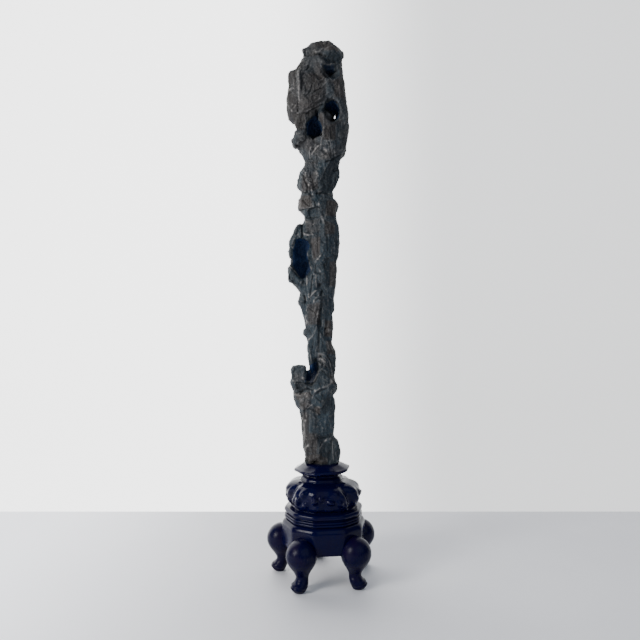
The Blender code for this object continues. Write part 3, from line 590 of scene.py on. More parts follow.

# Changes of colour: brightness, warmth (-1 blue-green to 1 brown, below -2 painted shade of a hollow),
# outline.
PATCHES_AND_SHADE = [
    (1.1, 0.6, (-10, 587), (6, 588), (18, 577), (8, 577), (-2, 580)),
    (0.6, -0.5, (-1, 576), (12, 578), (20, 569), (18, 563), (1, 563)),
    # The next two are painted shade in the recess under the brow.
    (0.75, -1.85, (-3, 562), (12, 562), (12, 552), (5, 550)),
    (0.5, -1.3, (12, 562), (16, 562), (17, 548), (9, 545), (5, 549), (12, 552)),
    (0.7, 0.2, (-27, 560), (-40, 552), (-41, 520), (-36, 508), (-28, 510)),
    (0.82, 0.35, (-26, 555), (3, 549), (2, 522), (-12, 514), (-26, 508)),
    (0.85, 0.9, (12, 545), (22, 545), (23, 525), (12, 527)),
    (0.6, 0.8, (-34, 506), (-22, 508), (-20, 498), (-24, 491), (-32, 493)),
    (0.5, 0.1, (-22, 508), (-4, 517), (-6, 507), (-16, 500)),
    (0.55, -0.8, (-4, 517), (2, 520), (4, 512), (-6, 508)),
    (0.75, 0.8, (0, 492), (14, 498), (13, 478), (0, 480)),
    (0.8, -0.1, (13, 495), (27, 498), (26, 470), (12, 462)),
    (1.25, 0.1, (-21, 476), (-8, 474), (8, 477), (9, 458), (-20, 455)),
    (0.6, -0.9, (24, 466), (16, 456), (17, 445), (13, 420), (-7, 420), (-3, 440), (8, 458)),
    (1.2, 0.2, (-24, 455), (-6, 457), (-6, 425), (-24, 421)),
    (0.95, -0.8, (-9, 420), (-2, 420), (-3, 408), (-10, 412)),
    (1.1, 0.5, (-27, 416), (-15, 418), (-12, 405), (-27, 402)),
    (0.85, -0.8, (-22, 402), (-5, 405), (-5, 393), (-21, 391)),
    (0.75, 0.7, (4, 412), (15, 411), (14, 395), (2, 396)),
    (1.05, 0.1, (-20, 390), (-4, 392), (-4, 378), (-20, 377)),
    (0.92, 0.6, (1, 390), (12, 386), (12, 370), (2, 372)),
    (0.92, -0.8, (3, 375), (15, 375), (15, 350), (4, 352)),
    (1.05, 0.6, (-14, 370), (-4, 372), (-4, 352), (-12, 345)),
    (0.78, -0.9, (0, 350), (8, 350), (6, 318), (0, 318)),
    (1, 0.6, (6, 345), (14, 345), (13, 318), (7, 318)),
    # Painted shade inside the long hollow.
    (1.35, -2.4, (-30, 370), (-20, 368), (-17, 338), (-23, 325), (-34, 341), (-34, 358)),
    (1, -0.4, (-38, 336), (-26, 325), (-28, 314), (-38, 325)),
    (0.85, -0.5, (-26, 313), (-21, 312), (-20, 298), (-26, 298)),
    (0.98, 0.4, (-18, 298), (-4, 300), (-3, 275), (-18, 275)),
    (0.84, -0.9, (-3, 310), (10, 305), (8, 280), (-2, 280)),
    (0.75, 0.7, (1, 280), (9, 280), (9, 262), (1, 262)),
    (1, -0.7, (-17, 262), (-9, 265), (-8, 248), (-15, 246)),
    (0.8, 0.7, (2, 258), (12, 256), (13, 243), (4, 243)),
    (1.35, 0.2, (-7, 243), (3, 238), (4, 229), (-7, 230)),
    (0.9, -0.7, (-7, 229), (7, 228), (6, 209), (-6, 209)),
    (1.2, 1, (7, 220), (12, 218), (12, 210), (8, 210)),
    # Painted shade in the gap of the fork.
    (1.4, -2.4, (-20, 228), (-7, 236), (-7, 222), (-12, 211), (-21, 211)),
    (1.28, -0.1, (-34, 229), (-22, 229), (-21, 214), (-34, 212)),
    (0.85, -0.3, (-31, 211), (-12, 210), (-12, 205), (-31, 201)),
    (1.25, 0.35, (-31, 199), (-14, 202), (-14, 190), (-20, 181), (-26, 182)),
    (0.95, -0.8, (-13, 200), (4, 206), (0, 185), (-12, 187)),
    (0.62, -1, (-2, 195), (7, 195), (6, 176), (-3, 176)),
    (0.95, 0.7, (-10, 184), (-4, 184), (-4, 175), (-8, 177)),
    (1.06, -0.35, (-17, 180), (-4, 175), (8, 176), (10, 146), (-17, 146)),
    (1.06, -1.25, (-5, 176), (8, 178), (9, 160), (3, 149), (-7, 156)),
    (0.58, 0.2, (-25, 180), (-18, 178), (-17, 125), (-22, 125)),
    (0.95, 0.25, (-17, 156), (-6, 156), (-8, 132), (-17, 134)),
    (1.1, 0.65, (-17, 132), (4, 132), (4, 122), (-17, 122)),
    (0.62, -0.9, (0, 146), (9, 146), (8, 128), (-2, 130)),
    (0.8, -0.8, (10, 146), (17, 138), (17, 124), (11, 124)),
]
HOLLOW_SHADE_WARMTH = -2.4

# Hollows, whose inner walls get painted shade, near black and cool: outline.
SHADED_HOLLOWS = [
    [(0, 520), (5, 526), (11, 524), (17, 514), (17, 503), (13, 500), (10, 508), (3, 513)],
    [(-20, 498), (-14, 502), (-6, 511), (-5, 501), (-1, 494), (-1, 484), (-8, 482), (-18, 484)],
    [(-30, 370), (-24, 372), (-18, 369), (-15, 363), (-18, 352), (-14, 336), (-19, 328), (-23, 325),
     (-28, 329), (-34, 341), (-34, 358)],
]
# Where the painted shade on a hollow's walls begins and ends:
HOLLOW_RIM = 12  # percent of a hollow's points that lie in front of its rim
HOLLOW_INSET = 2.5  # mm behind the rim, from which the walls are dark
HOLLOW_BACK = 6.5  # mm behind the axis, where the dark walls end

# The unseen back is broken in the same way: the same figures, turned half round and moved down.
BACK_AXIS, BACK_DROP = -5.0, 13.0  # mm: front-plane x of the turn's axis, and the drop
HALF_TURN = np.array([-1.0, -1.0, 1.0])
BACK_SHIFT = np.array([2 * (BACK_AXIS + FRONT_PLANE_X), 2 * FRONT_PLANE_Y, BACK_DROP])


def front_plane(places):
    """Where each point appears in the upright plane through the stone, seen from the front (mm)."""
    eye = np.array(EYE) / MM
    scale = (FRONT_PLANE_Y - eye[1]) / (places[:, 1] - eye[1])
    x = eye[0] + (places[:, 0] - eye[0]) * scale - FRONT_PLANE_X
    z = eye[2] + (places[:, 2] - eye[2]) * scale
    return x, z


def facing_front(normals, start, width):
    """How far each point faces the front: nothing up to a start, fully a width beyond it."""
    return smooth((-normals[:, 1] - start) / width)


def to_back(places):
    """Turn points half round, so that work meant for the front falls on the back."""
    return places * HALF_TURN + BACK_SHIFT


def from_back(turned):
    return (turned - BACK_SHIFT) * HALF_TURN


def both_sides(places, normals):
    """Front-plane coordinates and how far each point faces that way, for the front and for the back."""
    return [(*front_plane(places), facing_front(normals, 0.02, 0.25)),
            (*front_plane(to_back(places)), facing_front(-normals, 0.02, 0.25))]


def segment_distance(x, z, ax, az, bx, bz):
    length = (bx - ax) ** 2 + (bz - az) ** 2
    along = np.clip(((x - ax) * (bx - ax) + (z - az) * (bz - az)) / length, 0.0, 1.0)
    return np.hypot(x - ax - along * (bx - ax), z - az - along * (bz - az))


def path_distance(x, z, path):
    return np.minimum.reduce([segment_distance(x, z, *a, *b) for a, b in zip(path, path[1:])])


def polygon_depth(x, z, outline):
    """Distance inside an outline in the front plane, negative outside (mm)."""
    inside = np.zeros(len(x), bool)
    for (ax, az), (bx, bz) in zip(outline, outline[1:] + outline[:1]):
        if az != bz:
            crossing = (az > z) != (bz > z)
            inside ^= crossing & (x < (bx - ax) * (z - az) / (bz - az) + ax)
    distance = path_distance(x, z, outline + outline[:1])
    return np.where(inside, distance, -distance)


def near_figure(x, z, points, margin, wanted):
    """The wanted vertices within a margin of a figure's bounding box."""
    xs, zs = zip(*points)
    inside = (x > min(xs) - margin) & (x < max(xs) + margin)
    inside &= (z > min(zs) - margin) & (z < max(zs) + margin)
    return np.nonzero(inside & wanted)[0]


def press_plates(places, normals):
    """Bring each broken face towards its own plane."""
    x, z = front_plane(places)
    front = facing_front(normals, 0.10, 0.35)
    moved = places.copy()
    for to_right, upward, press, *outline in PLATES:
        near = near_figure(x, z, outline, 0.0, front > 0.0)
        weight = smooth(polygon_depth(x[near], z[near], outline) / PLATE_EDGE) * front[near]
        if weight.sum() < 1.0:
            continue
        middle = np.average(places[near], axis=0, weights=weight + TINY)
        plane = (middle[1] + press + to_right * (places[near, 0] - middle[0])
                 + upward * (places[near, 2] - middle[2]))
        change = np.clip(plane - places[near, 1], -PLATE_REACH, PLATE_REACH)
        moved[near, 1] += PLATE_SHARE * weight * change
    return moved


def cut_recesses(places, normals):
    x, z = front_plane(places)
    front = facing_front(normals, 0.05, 0.3)
    for depth, *outline in RECESSES:
        places[:, 1] += depth * smooth((polygon_depth(x, z, outline) + RECESS_RIM) / RECESS_WALL) * front
    return places


def brush(sides, path, half_width):
    """On each side, the vertices near a path and how strongly it marks them."""
    for x, z, facing in sides:
        near = near_figure(x, z, path, BRUSH_REACH, facing > 0.0)
        distance = path_distance(x[near], z[near], path) / half_width
        yield near, np.exp(-distance ** 2) * facing[near]


def draw_strokes(sides):
    """Height of the ridges and cracks, and their marks alone, which paint highlights along the ridges and
    shade in the cracks.
    """
    lift = np.zeros(len(sides[0][0]))
    stroke_light_and_shade = np.zeros(len(lift))
    for half_width, height, *path in STROKES:
        share = RIDGE_SHARE if height > 0.0 else 1.0
        for near, mark in brush(sides, path, STROKE_WIDTH * half_width):
            lift[near] += share * height * mark
            stroke_light_and_shade[near] += np.clip(height, -1.0, 1.0) * mark
    return lift, stroke_light_and_shade


def draw_veins(sides):
    vein = np.zeros(len(sides[0][0]))
    for half_width, strength, *path in VEINS:
        for near, mark in brush(sides, path, VEIN_WIDTH * half_width):
            vein[near] = np.maximum(vein[near], strength * mark)
    return vein


# ---------------- stone: breaks, grain and colour
# Small flat breaks over the whole stone: spacing, stretch upwards, lean of their planes, how closely the
# surface follows them, most that it moves (mm), seed.
CHISEL_PASSES = [(9.0, 1.6, 0.10, 0.75, 1.6, 11), (4.2, 1.5, 0.14, 0.50, 0.7, 12)]
CHISEL_CROWDING = 1.3  # breaks for every square of one spacing
CHISEL_BLEND = 0.18  # share of a spacing over which two breaks meet

GRAIN_SIZE = np.array([2.6, 2.6, 3.4])
GRAIN_HEIGHT = 0.45
PIT_SIZE, PIT_DEPTH = 2.1, 0.7
SCRATCH_HEIGHT, FOOT_SCRATCH_HEIGHT = 0.55, 0.30


def chisel(places, normals, spacing, stretch, lean, share, limit, seed):
    """Split the surface into small flat breaks about one spacing across."""
    chance = random.Random(seed)
    count = int(len(places) * (STONE_VOXEL / spacing) ** 2 * CHISEL_CROWDING)
    picks = chance.sample(range(len(places)), count)
    scale = np.array([1.0, 1.0, 1.0 / stretch])
    tree = kdtree.KDTree(count)
    planes = []
    for i, pick in enumerate(picks):
        tree.insert(Vector(places[pick] * scale), i)
        tilt = Vector((chance.gauss(0, lean), chance.gauss(0, lean), chance.gauss(0, lean)))
        planes.append((Vector(normals[pick]) + tilt).normalized())
    tree.balance()
    planes = np.array(planes)
    centres = places[picks]
    nearest = np.empty((len(places), 2), int)
    reach = np.empty((len(places), 2))
    for i, place in enumerate(places * scale):
        found = tree.find_n(Vector(place), 2)
        nearest[i] = [f[1] for f in found]
        reach[i] = [f[2] for f in found]
    edge = smooth((reach[:, 1] - reach[:, 0]) / (CHISEL_BLEND * spacing))
    lift = np.zeros(len(places))
    for column, weight in ((0, 0.5 + 0.5 * edge), (1, 0.5 - 0.5 * edge)):
        plane = planes[nearest[:, column]]
        offset = np.einsum("ij,ij->i", centres[nearest[:, column]] - places, plane)
        agree = np.clip(np.einsum("ij,ij->i", plane, normals), 0.0, 1.0)
        lift += weight * np.clip(offset, -limit, limit) * agree
    return places + normals * (share * lift)[:, None]


def stone_roughness(x, z, places):
    """Rough on the waist and the broken shelf, calmer on the right flank and the foot."""
    rough = 0.80 + 0.5 * noise_field(places / 24.0) + 0.2 * smooth((z - 500.0) / 12.0)
    rough += 0.8 * np.exp(-((z - 440.0) / 24.0) ** 2) * smooth((8.0 - x) / 14.0)
    rough += 0.5 * np.exp(-((z - 225.0) / 16.0) ** 2)
    rough -= 0.5 * np.exp(-((z - 482.0) / 14.0) ** 2) * smooth((x - 4.0) / 8.0)
    rough -= 0.35 * smooth((178.0 - z) / 12.0)
    return np.clip(rough, 0.3, 2.0)


def scratches(x, z, places):
    """Fine streaks: slanting on the head, upright on the column, fainter on the foot."""
    slant = np.stack([(x + z) / 9.0, (x - z) / 1.9, places[:, 1] / 6.0], axis=1)
    upright = np.stack([places[:, 0] / 1.9, places[:, 1] / 1.9, places[:, 2] / 13.0], axis=1)
    head = smooth((z - 508.0) / 12.0)
    height = SCRATCH_HEIGHT + (FOOT_SCRATCH_HEIGHT - SCRATCH_HEIGHT) * smooth((184.0 - z) / 12.0)
    return height * (head * fractal_field(slant, 3) + (1.0 - head) * fractal_field(upright, 3))


def fine_relief(x, z, places):
    """Grain, pits and scratches (mm)."""
    grain = fractal_field(places / GRAIN_SIZE, 4)
    pits = np.clip(noise_field(places / PIT_SIZE + 40.0) - 0.25, 0.0, 1.0)
    relief = stone_roughness(x, z, places) * (GRAIN_HEIGHT * grain - PIT_DEPTH * pits)
    return relief + scratches(x, z, places)


def edges_and_dips(places, edges, faces, stroke_light_and_shade):
    """Worn edges with painted highlight, and painted shade in dips and cracks, by how far each point stands
    out from calmer surfaces and by the strokes' marks; and normals.
    """
    calm = relax(places, edges, 5)
    broad = relax(calm, edges, 24)
    normals = smoothed_normals(calm, faces)
    curve = np.einsum("ij,ij->i", places - calm, normals)
    swell = np.einsum("ij,ij->i", calm - broad, smoothed_normals(broad, faces))
    wear_and_highlight = 0.75 * smooth((curve - 0.14) / 0.34) + 0.35 * smooth((swell - 0.45) / 0.9)
    # Painted highlight along the raised edges of the strokes.
    wear_and_highlight += 0.30 * np.clip(stroke_light_and_shade, 0.0, 1.0)
    # Painted shade in dips, creases and cracks.
    dip_shade = 0.6 * smooth((-curve - 0.06) / 0.30) + 0.5 * smooth((-swell - 0.3) / 1.2)
    dip_shade += 0.75 * np.clip(-stroke_light_and_shade, 0.0, 1.0)
    return wear_and_highlight, dip_shade, normals


def tint_patches_and_shade(places, sides):
    """Brightness and warmth: cooler below the head, then the patches on the front, some of them painted
    shade in the hollows, the fork's gap and under the brow.
    """
    (x, z, front), (_, _, back) = sides
    tone = np.ones(len(places))
    warmth_and_shade = 0.12 + 0.25 * noise_field(places / 30.0 + 9.0)
    warmth_and_shade -= 0.50 * smooth((490.0 - z) / 60.0) * (1.0 - 0.7 * back)
    for brightness, warmth, *outline in PATCHES_AND_SHADE:
        near = near_figure(x, z, outline, 3.0, front > 0.0)
        weight = smooth((polygon_depth(x[near], z[near], outline) + 1.5) / 3.0) * front[near]
        tone[near] += weight * (brightness - tone[near])
        warmth_and_shade[near] += weight * (warmth - warmth_and_shade[near])
    return tone, warmth_and_shade


def paint_hollow_shade(x, z, places, normals, wear_and_highlight):
    """Painted shade on the hollows' inner walls: how dark they are. The edges beside a hollow get less wear
    and painted highlight.
    """
    hollow_shade = np.zeros(len(places))
    for outline in SHADED_HOLLOWS:
        near = near_figure(x, z, outline, 4.0, places[:, 1] < HOLLOW_BACK)
        behind = places[near, 1]
        rim = np.percentile(behind, HOLLOW_RIM)
        depth = polygon_depth(x[near], z[near], outline)
        weight = smooth((depth + 1.0) / 2.0) * smooth((behind - rim - HOLLOW_INSET) / 4.0)
        weight *= smooth((0.45 - normals[near, 1]) / 0.3) * smooth((HOLLOW_BACK - behind) / 3.0)
        hollow_shade[near] = np.maximum(hollow_shade[near], weight)
        wear_and_highlight[near] *= 1.0 - 0.8 * smooth((depth + 4.0) / 2.0)
    return hollow_shade


def colour_stone(mesh, places, edges, faces, sides, stroke_light_and_shade):
    """Attributes for the material: brightness with painted shade in dips and cracks, warmth with painted
    shade in the hollows, worn edges with painted highlight, pale veins.
    """
    x, z, _ = sides[0]
    wear_and_highlight, dip_shade, normals = edges_and_dips(places, edges, faces, stroke_light_and_shade)
    tone, warmth_and_shade = tint_patches_and_shade(places, sides)
    vein = draw_veins(sides) * smooth((noise_field(places / 1.9 + 70.0) + 0.45) / 0.5)
    tone += (VEIN_TONE - tone) * vein
    hollow_shade = paint_hollow_shade(x, z, places, normals, wear_and_highlight)
    # The hollows' painted shade clears wear, highlight and veins there, and sets the warmth to the shade's
    # value.
    set_attribute(mesh, "wear_and_highlight", np.clip(wear_and_highlight, 0.0, 1.0) * (1.0 - hollow_shade))
    # Painted shade in dips and cracks darkens the brightness.
    set_attribute(mesh, "tone", tone * (1.0 - 0.60 * np.clip(dip_shade, 0.0, 1.0)))
    set_attribute(mesh, "warmth_and_shade", warmth_and_shade * (1.0 - hollow_shade) + HOLLOW_SHADE_WARMTH * hollow_shade)
    set_attribute(mesh, "vein", vein * (1.0 - hollow_shade))


def rock(material):
    stone = fine_stone()
    mesh = stone.data
    mesh.materials.clear()
    mesh.materials.append(material)
    edges = read(mesh.edges, "vertices", 2, np.int64)
    faces = read(mesh.polygons, "vertices", 4, np.int64)
    places = relax(read(mesh.vertices, "co", 3, np.float32).astype(float) / MM, edges, 2)

    normals = smoothed_normals(relax(places, edges, 6), faces)
    places = press_plates(places, normals)
    places = from_back(press_plates(to_back(places), normals * HALF_TURN))
    for chisel_pass in CHISEL_PASSES:
        places = chisel(places, normals, *chisel_pass)
    places = cut_recesses(places, normals)

    sides = both_sides(places, normals)
    x, z, _ = sides[0]
    lift, stroke_light_and_shade = draw_strokes(sides)
    lift += fine_relief(x, z, places)
    places = places + normals * lift[:, None]
    set_places(mesh, places)
    shade_smooth(mesh)

    colour_stone(mesh, places, edges, faces, sides, stroke_light_and_shade)
    add_modifier(stone, "DECIMATE", ratio=STONE_TRIANGLES / (2.0 * len(mesh.polygons)))
    bake(stone)
    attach(stone, "root")
    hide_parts("stone")


# ---------------- stand: as in the solids (mm)
STAND_AXIS = (2.34, -2.62)
COLLAR_SHIFT = (-1.8, -2.0)
SHIFT_FROM, SHIFT_TO = 84.0, 106.0
SIDES = 5
SECTOR = 360.0 / SIDES
FIRST_CORNER = 43.5
LEG_RADIUS = 48.4

# ---------------- stand: the carved body
STAND_COLUMNS = 76  # columns of the carved mesh in one sector
PANEL_INSET = 0.8  # how far the panels lie inside the blocks over the legs
APRON_TOP = 58.0
APRON_SHARPNESS, UPPER_SHARPNESS = 60.0, 34.0  # of the plan's corners, below and above the apron's top
RIM_HEIGHT, RIM_REACH = 118.0, 8.0
RIM_DROOP = 0.8  # the rim hangs between its corners
RIM_SLOPE = 0.035  # ... and stands a little higher on its right

# The dome: height and radius of its lobes.
DOME = [
    (77.6, 35.0), (78.6, 36.0), (80.0, 37.2), (82.0, 38.3), (85.0, 39.3), (88.0, 39.9), (91.0, 40.2),
    (94.0, 40.1), (97.0, 39.4), (99.5, 38.1), (101.6, 36.4), (103.4, 33.9), (104.7, 30.6), (105.5, 27.2),
    (105.9, 24.4),
]
# Furrows between its lobes: azimuth at the lobes' top and at their foot.
FURROWS = [(-50.0, -76.0), (34.0, 53.0), (112.0, 128.0), (196.0, 182.0)]
FURROW_DEPTH, FURROW_WIDTH = 3.2, 5.6
# Lumps on every lobe: place across it (0 to 1), height, half-width, half-height, rise (mm).
LUMPS = [
    (0.10, 87.5, 3.4, 3.6, 1.3), (0.22, 89.5, 3.2, 4.0, 2.5), (0.27, 98.0, 3.6, 4.6, 2.0),
    (0.34, 86.0, 3.0, 3.4, 1.6), (0.48, 92.5, 2.8, 4.2, 3.3), (0.56, 94.0, 2.4, 3.0, 1.6),
    (0.50, 83.0, 4.4, 3.0, 1.1), (0.69, 90.0, 3.4, 2.5, 3.0), (0.79, 99.0, 4.0, 3.6, 1.2),
    (0.81, 88.0, 3.4, 3.0, 1.6), (0.66, 82.0, 3.6, 2.8, 0.9), (0.90, 84.0, 3.6, 3.0, 1.3),
    (0.92, 94.0, 3.6, 5.6, 1.3),
]
LOBE_BOLDNESS = [1.35, 0.75, 0.75, 0.75]  # share of the lumps' rise, front lobe first


def ring_mesh(name, rings):
    """A closed smooth mesh through rings of points (mm), each anticlockwise, from the lowest upwards."""
    count = len(rings[0])
    corners = [tuple(p * MM) for ring in rings for p in ring]
    faces = []
    for first in range(0, len(corners) - count, count):
        for i in range(count):
            j = (i + 1) % count
            faces.append((first + i, first + j, first + count + j, first + count + i))
    faces.append(tuple(reversed(range(count))))
    faces.append(tuple(range(len(corners) - count, len(corners))))
    mesh = mesh_from(name, corners, faces)
    shade_smooth(mesh)
    mesh.update()
    return mesh


def plan_radius(turn, block, panel, sharpness):
    """Radius of the ten-sided plan: a block over each leg and a panel between, with softened corners."""
    total = np.zeros(np.broadcast(turn, block).shape)
    for step in range(-2, 3):
        toward = np.clip(np.cos(np.radians(turn - step * SECTOR / 2)), 0.0, 1.0)
        total += (toward / (panel if step % 2 else block)) ** sharpness
    return total ** (-1.0 / sharpness)


def collar_shift(height):
    share = smooth((height - SHIFT_FROM) / (SHIFT_TO - SHIFT_FROM))
    return np.stack([COLLAR_SHIFT[0] * share, COLLAR_SHIFT[1] * share], axis=-1)


def arc(height, radius, size_z, size_r, start, end, count):
    """Points of a moulding's arc: centre height and radius, half-sizes, and turns in degrees."""
    points = []
    for i in range(count):
        angle = math.radians(start + (end - start) * i / (count - 1))
        points.append((height + size_z * math.sin(angle), radius + size_r * math.cos(angle)))
    return points


def body_profile():
    """Height and radius, from the apron's foot to the socket."""
    rows = [(35.4, 30.0), (35.4, 41.8)]
    rows += arc(37.2, 42.4, 1.8, 1.8, -80, 0, 6)  # lip of the apron
    rows += [(40, 44.3), (44, 44.6), (48, 44.8), (52, 44.9), (55, 44.9)]
    rows += arc(57.2, 39.4, 6.6, 5.5, 0, 84, 14)  # its shoulder
    rows += [(63.9, 39.6), (64.4, 39.7)]
    rows += arc(66.0, 40.9, 1.25, 1.5, -80, 80, 9)  # double bead
    rows += [(67.3, 40.6)]
    rows += arc(68.6, 40.6, 1.2, 1.5, -80, 80, 9)
    rows += [(69.9, 39.6), (70.8, 39.4)]
    rows += arc(73.9, 39.6, 2.9, 2.8, -82, 82, 13)  # broad bead
    rows += [(76.9, 37.2), (77.4, 35.6)]
    for (low, inner), (high, outer) in zip(DOME, DOME[1:]):
        for share in (0.0, 0.25, 0.5, 0.75):
            rows.append((low + (high - low) * share, inner + (outer - inner) * share))
    rows += arc(106.6, 17.6, 4.4, 5.6, -6, 62, 13)  # ring of the neck
    rows += [(111.2, 19.8), (112.0, 19.8), (112.9, 20.6), (113.9, 22.1), (114.9, 24.2), (115.8, 26.8)]
    rows += arc(117.9, 28.6, 1.7, 1.7, -75, 75, 11)  # rim of the collar
    rows += [(119.9, 27.6), (120.9, 25.8), (122.0, 23.4), (123.0, 21.8), (123.8, 20.4), (123.9, 15.0),
             (123.9, 4.0)]
    return np.array(rows)


def dome_relief(azimuth, height, radius):
    """Broad lobes parted by slanting furrows, with low rounded lumps on them."""
    foot_height, top_height = DOME[0][0], DOME[-1][0]
    up = np.clip((height - foot_height) / (top_height - foot_height), 0.0, 1.0)
    lines = [foot + (top - foot) * up for top, foot in FURROWS]
    rise = np.zeros(np.broadcast(azimuth, radius).shape)
    within = (height > foot_height) & (height < top_height)
    for left, right, boldness in zip(lines, lines[1:] + [lines[0] + 360.0], LOBE_BOLDNESS):
        span = right - left
        across = ((azimuth - left) % 360.0) / span
        edge = np.radians(np.minimum(across, 1.0 - across) * span) * radius
        lumps = np.zeros(rise.shape)
        for place, middle, half_width, half_height, lift in LUMPS:
            aside = np.radians((across - place) * span) * radius / half_width
            distance = aside ** 2 + ((height - middle) / half_height) ** 2
            lumps += (lift * np.exp(-0.9 * distance ** 1.3)) ** 3
        lobe = boldness * lumps ** (1.0 / 3.0) - FURROW_DEPTH * np.exp(-(edge / FURROW_WIDTH) ** 2)
        rise = np.where((across <= 1.0) & within, lobe, rise)
    return rise * smooth((height - foot_height) / 2.0) * smooth((top_height - height) / 1.5)


def stand_body(material):
    rows = body_profile()
    heights, blocks = rows[:, :1], rows[:, 1:]
    columns = SIDES * STAND_COLUMNS
    azimuths = (FIRST_CORNER + np.arange(columns) * 360.0 / columns)[None, :]
    turns = (azimuths - FIRST_CORNER + SECTOR / 2) % SECTOR - SECTOR / 2
    sharpness = np.where(heights < APRON_TOP, APRON_SHARPNESS, UPPER_SHARPNESS)
    radius = plan_radius(turns, blocks, blocks - PANEL_INSET, sharpness)
    radius = radius + dome_relief(azimuths, heights, radius)
    near_rim = smooth(1.0 - np.abs(heights - RIM_HEIGHT) / RIM_REACH)
    droop = RIM_DROOP * near_rim * (1.0 - smooth(np.abs(turns) / (SECTOR / 2)))
    shift = collar_shift(heights[:, 0])
    angle = np.radians(azimuths)
    x = STAND_AXIS[0] + shift[:, :1] + np.sin(angle) * radius
    y = STAND_AXIS[1] + shift[:, 1:] - np.cos(angle) * radius
    z = heights - droop + RIM_SLOPE * near_rim * x
    rings = np.stack([x, y, np.broadcast_to(z, x.shape)], axis=-1)
    body = new_object("carved_body", ring_mesh("carved_body", rings), material)
    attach(body, "root")
    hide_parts("stand_body")


# ---------------- stand: the legs
# Azimuth of each leg, and the azimuth its hand-cut foot points to.
LEGS = {
    "leg_front_right": (43.5, 88.0),
    "leg_back_right": (119.0, 125.0),
    "leg_back": (188.0, 186.0),
    "leg_back_left": (258.0, 250.0),
    "leg_front_left": (331.5, 304.0),
}
LEG_COLUMNS = 64
KNEE_RADIUS = 16.1
KNEE_HEIGHT = 37.2
# Below the knee: height, radius, and how far the leg's line stands out from the knee's.
LEG_PROFILE = [
    (37.2, 16.1, 0.0), (34.5, 16.0, 0.0), (31.5, 15.3, -0.1), (28.5, 14.0, -0.3), (25.5, 12.3, -0.6),
    (22.5, 10.2, -0.9), (19.5, 8.4, -1.2), (17.0, 7.1, -1.4), (15.0, 6.6, -1.4), (13.0, 6.7, -1.0),
    (11.0, 7.4, 0.2), (9.0, 8.3, 1.4), (7.2, 8.7, 2.2), (5.4, 8.5, 2.6), (3.8, 7.7, 2.6), (2.2, 6.8, 2.4),
    (0.9, 5.7, 2.2), (0.25, 4.9, 2.0), (0.0, 4.4, 2.0),
]
# Folds carved round each foot: height, climb towards the toe, depth.
FOLDS = [(8.6, 2.0, 0.7), (4.6, 2.6, 1.1)]
FOLD_WIDTH = 0.8
TOE_STRETCH = 0.10
TOE_TOP, TOE_FULL = 12.0, 6.0  # heights between which the toe comes out


def smooth_path(points, parts):
    """Catmull-Rom points through a short list."""
    points = [np.array(p, float) for p in points]
    padded = [2 * points[0] - points[1]] + points + [2 * points[-1] - points[-2]]
    result = []
    for a, b, c, d in zip(padded, padded[1:], padded[2:], padded[3:]):
        for i in range(parts):
            t = i / parts
            result.append(0.5 * (2 * b + (c - a) * t + (2 * a - 5 * b + 4 * c - d) * t ** 2
                                 + (3 * b - a - 3 * c + d) * t ** 3))
    result.append(points[-1])
    return result


def fold_depth(height, facing):
    """Depth of the folds at a height, for the cosine of the angle from the toe."""
    depths = [depth * math.exp(-((height - level - climb * facing) / FOLD_WIDTH) ** 2)
              for level, climb, depth in FOLDS]
    return sum(depths) * (0.5 + 0.5 * facing)


def leg_mesh(name, azimuth, foot_azimuth):
    knee = []
    for elevation in range(86, 2, -4):
        angle = math.radians(elevation)
        knee.append((KNEE_HEIGHT + KNEE_RADIUS * math.sin(angle), KNEE_RADIUS * math.cos(angle), 0.0))
    centre = Vector((*STAND_AXIS, 0.0)) + bearing(azimuth) * LEG_RADIUS
    rings = []
    for height, radius, lean in reversed(knee + smooth_path(LEG_PROFILE, 4)):
        out = bearing(azimuth if lean < 0.0 else foot_azimuth)
        toe_share = float(smooth((TOE_TOP - height) / (TOE_TOP - TOE_FULL)))
        ring = []
        for i in range(LEG_COLUMNS):
            turn = 360.0 * i / LEG_COLUMNS
            facing = math.cos(math.radians(turn))
            toe = 1.0 + TOE_STRETCH * max(facing, 0.0) * toe_share
            reach = radius * toe - fold_depth(height, facing)
            place = centre + out * lean + bearing(foot_azimuth + turn) * reach
            ring.append(np.array((place.x, place.y, height)))
        rings.append(ring)
    return ring_mesh(name, rings)


def stand_legs(material):
    for node, (azimuth, foot_azimuth) in LEGS.items():
        name = "turned_" + node
        leg = new_object(name, leg_mesh(name, azimuth, foot_azimuth), material)
        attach(leg, "root")
        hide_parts(node)


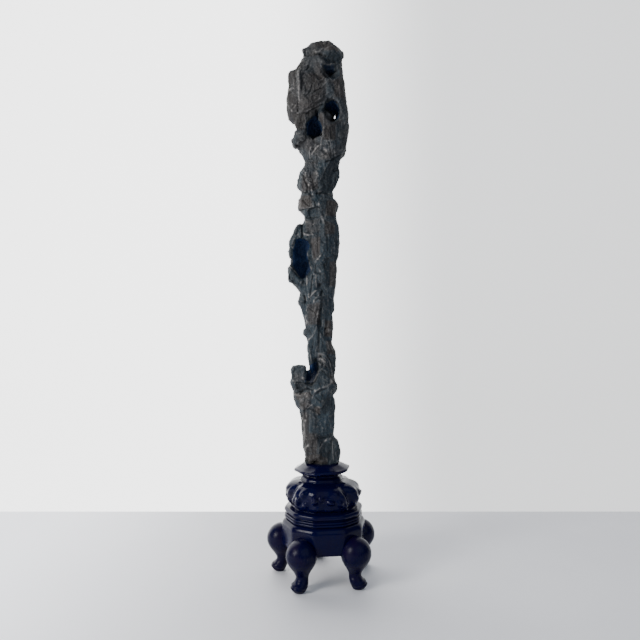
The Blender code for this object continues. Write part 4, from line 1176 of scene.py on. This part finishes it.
# ---------------- surroundings (m)
TABLE = (-2.0, 2.0, -1.6, 0.216)  # its sides, near edge and far edge
TABLE_THICKNESS = 0.03
WALL_Y, WALL_HALF, WALL_LOW = 1.6, 4.0, 1.0  # far enough back to walk round the object

# Lamps: place, point they face, size, power (W), colour.
LAMPS = {
    "window": ((-1.05, -0.75, 0.72), (0, 0, 0.28), (0.42, 0.64), 18.0, (1.0, 0.99, 0.97)),
    "room": ((1.0, -1.6, 1.5), (0, 0, 0.3), (2.6, 2.2), 15.0, (0.80, 0.90, 1.0)),
}
AIR_COLOUR, AIR_STRENGTH = (0.70, 0.80, 1.0, 1), 0.17


def stage():
    left, right, near, far = TABLE
    plan = [(left, near), (right, near), (right, far), (left, far)]
    corners = [(x, y, z) for z in (0.0, -TABLE_THICKNESS) for x, y in plan]
    rim = [(i, i + 4, (i + 1) % 4 + 4, (i + 1) % 4) for i in range(4)]
    mesh = mesh_from("table", corners, [(0, 1, 2, 3), (7, 6, 5, 4)] + rim)
    table = new_object("table", mesh, floor_material())
    corners = [(-WALL_HALF, WALL_Y, -WALL_LOW), (WALL_HALF, WALL_Y, -WALL_LOW),
               (WALL_HALF, WALL_Y, WALL_HALF), (-WALL_HALF, WALL_Y, WALL_HALF)]
    wall = new_object("wall", mesh_from("wall", corners, [(0, 1, 2, 3)]), wall_material())


def lights():
    for name, (place, aim, size, power, colour) in LAMPS.items():
        light = bpy.data.lights.new(name, "AREA")
        light.shape = "RECTANGLE"
        light.size, light.size_y = size
        light.energy = power
        light.color = colour
        lamp = new_object(name, light)
        lamp.location = place
        lamp.rotation_euler = (Vector(aim) - Vector(place)).to_track_quat("-Z", "Y").to_euler()
    world = bpy.data.worlds.new("room_light")
    bpy.context.scene.world = world
    world.use_nodes = True
    air = world.node_tree.nodes["Background"]
    air.inputs["Color"].default_value = AIR_COLOUR
    air.inputs["Strength"].default_value = AIR_STRENGTH


camera()
rock(stone_material())
stand_body(lacquer_material("black_lacquer", *BLACK_LACQUER))
stand_legs(lacquer_material("rubbed_lacquer", *RUBBED_LACQUER))
stage()
lights()
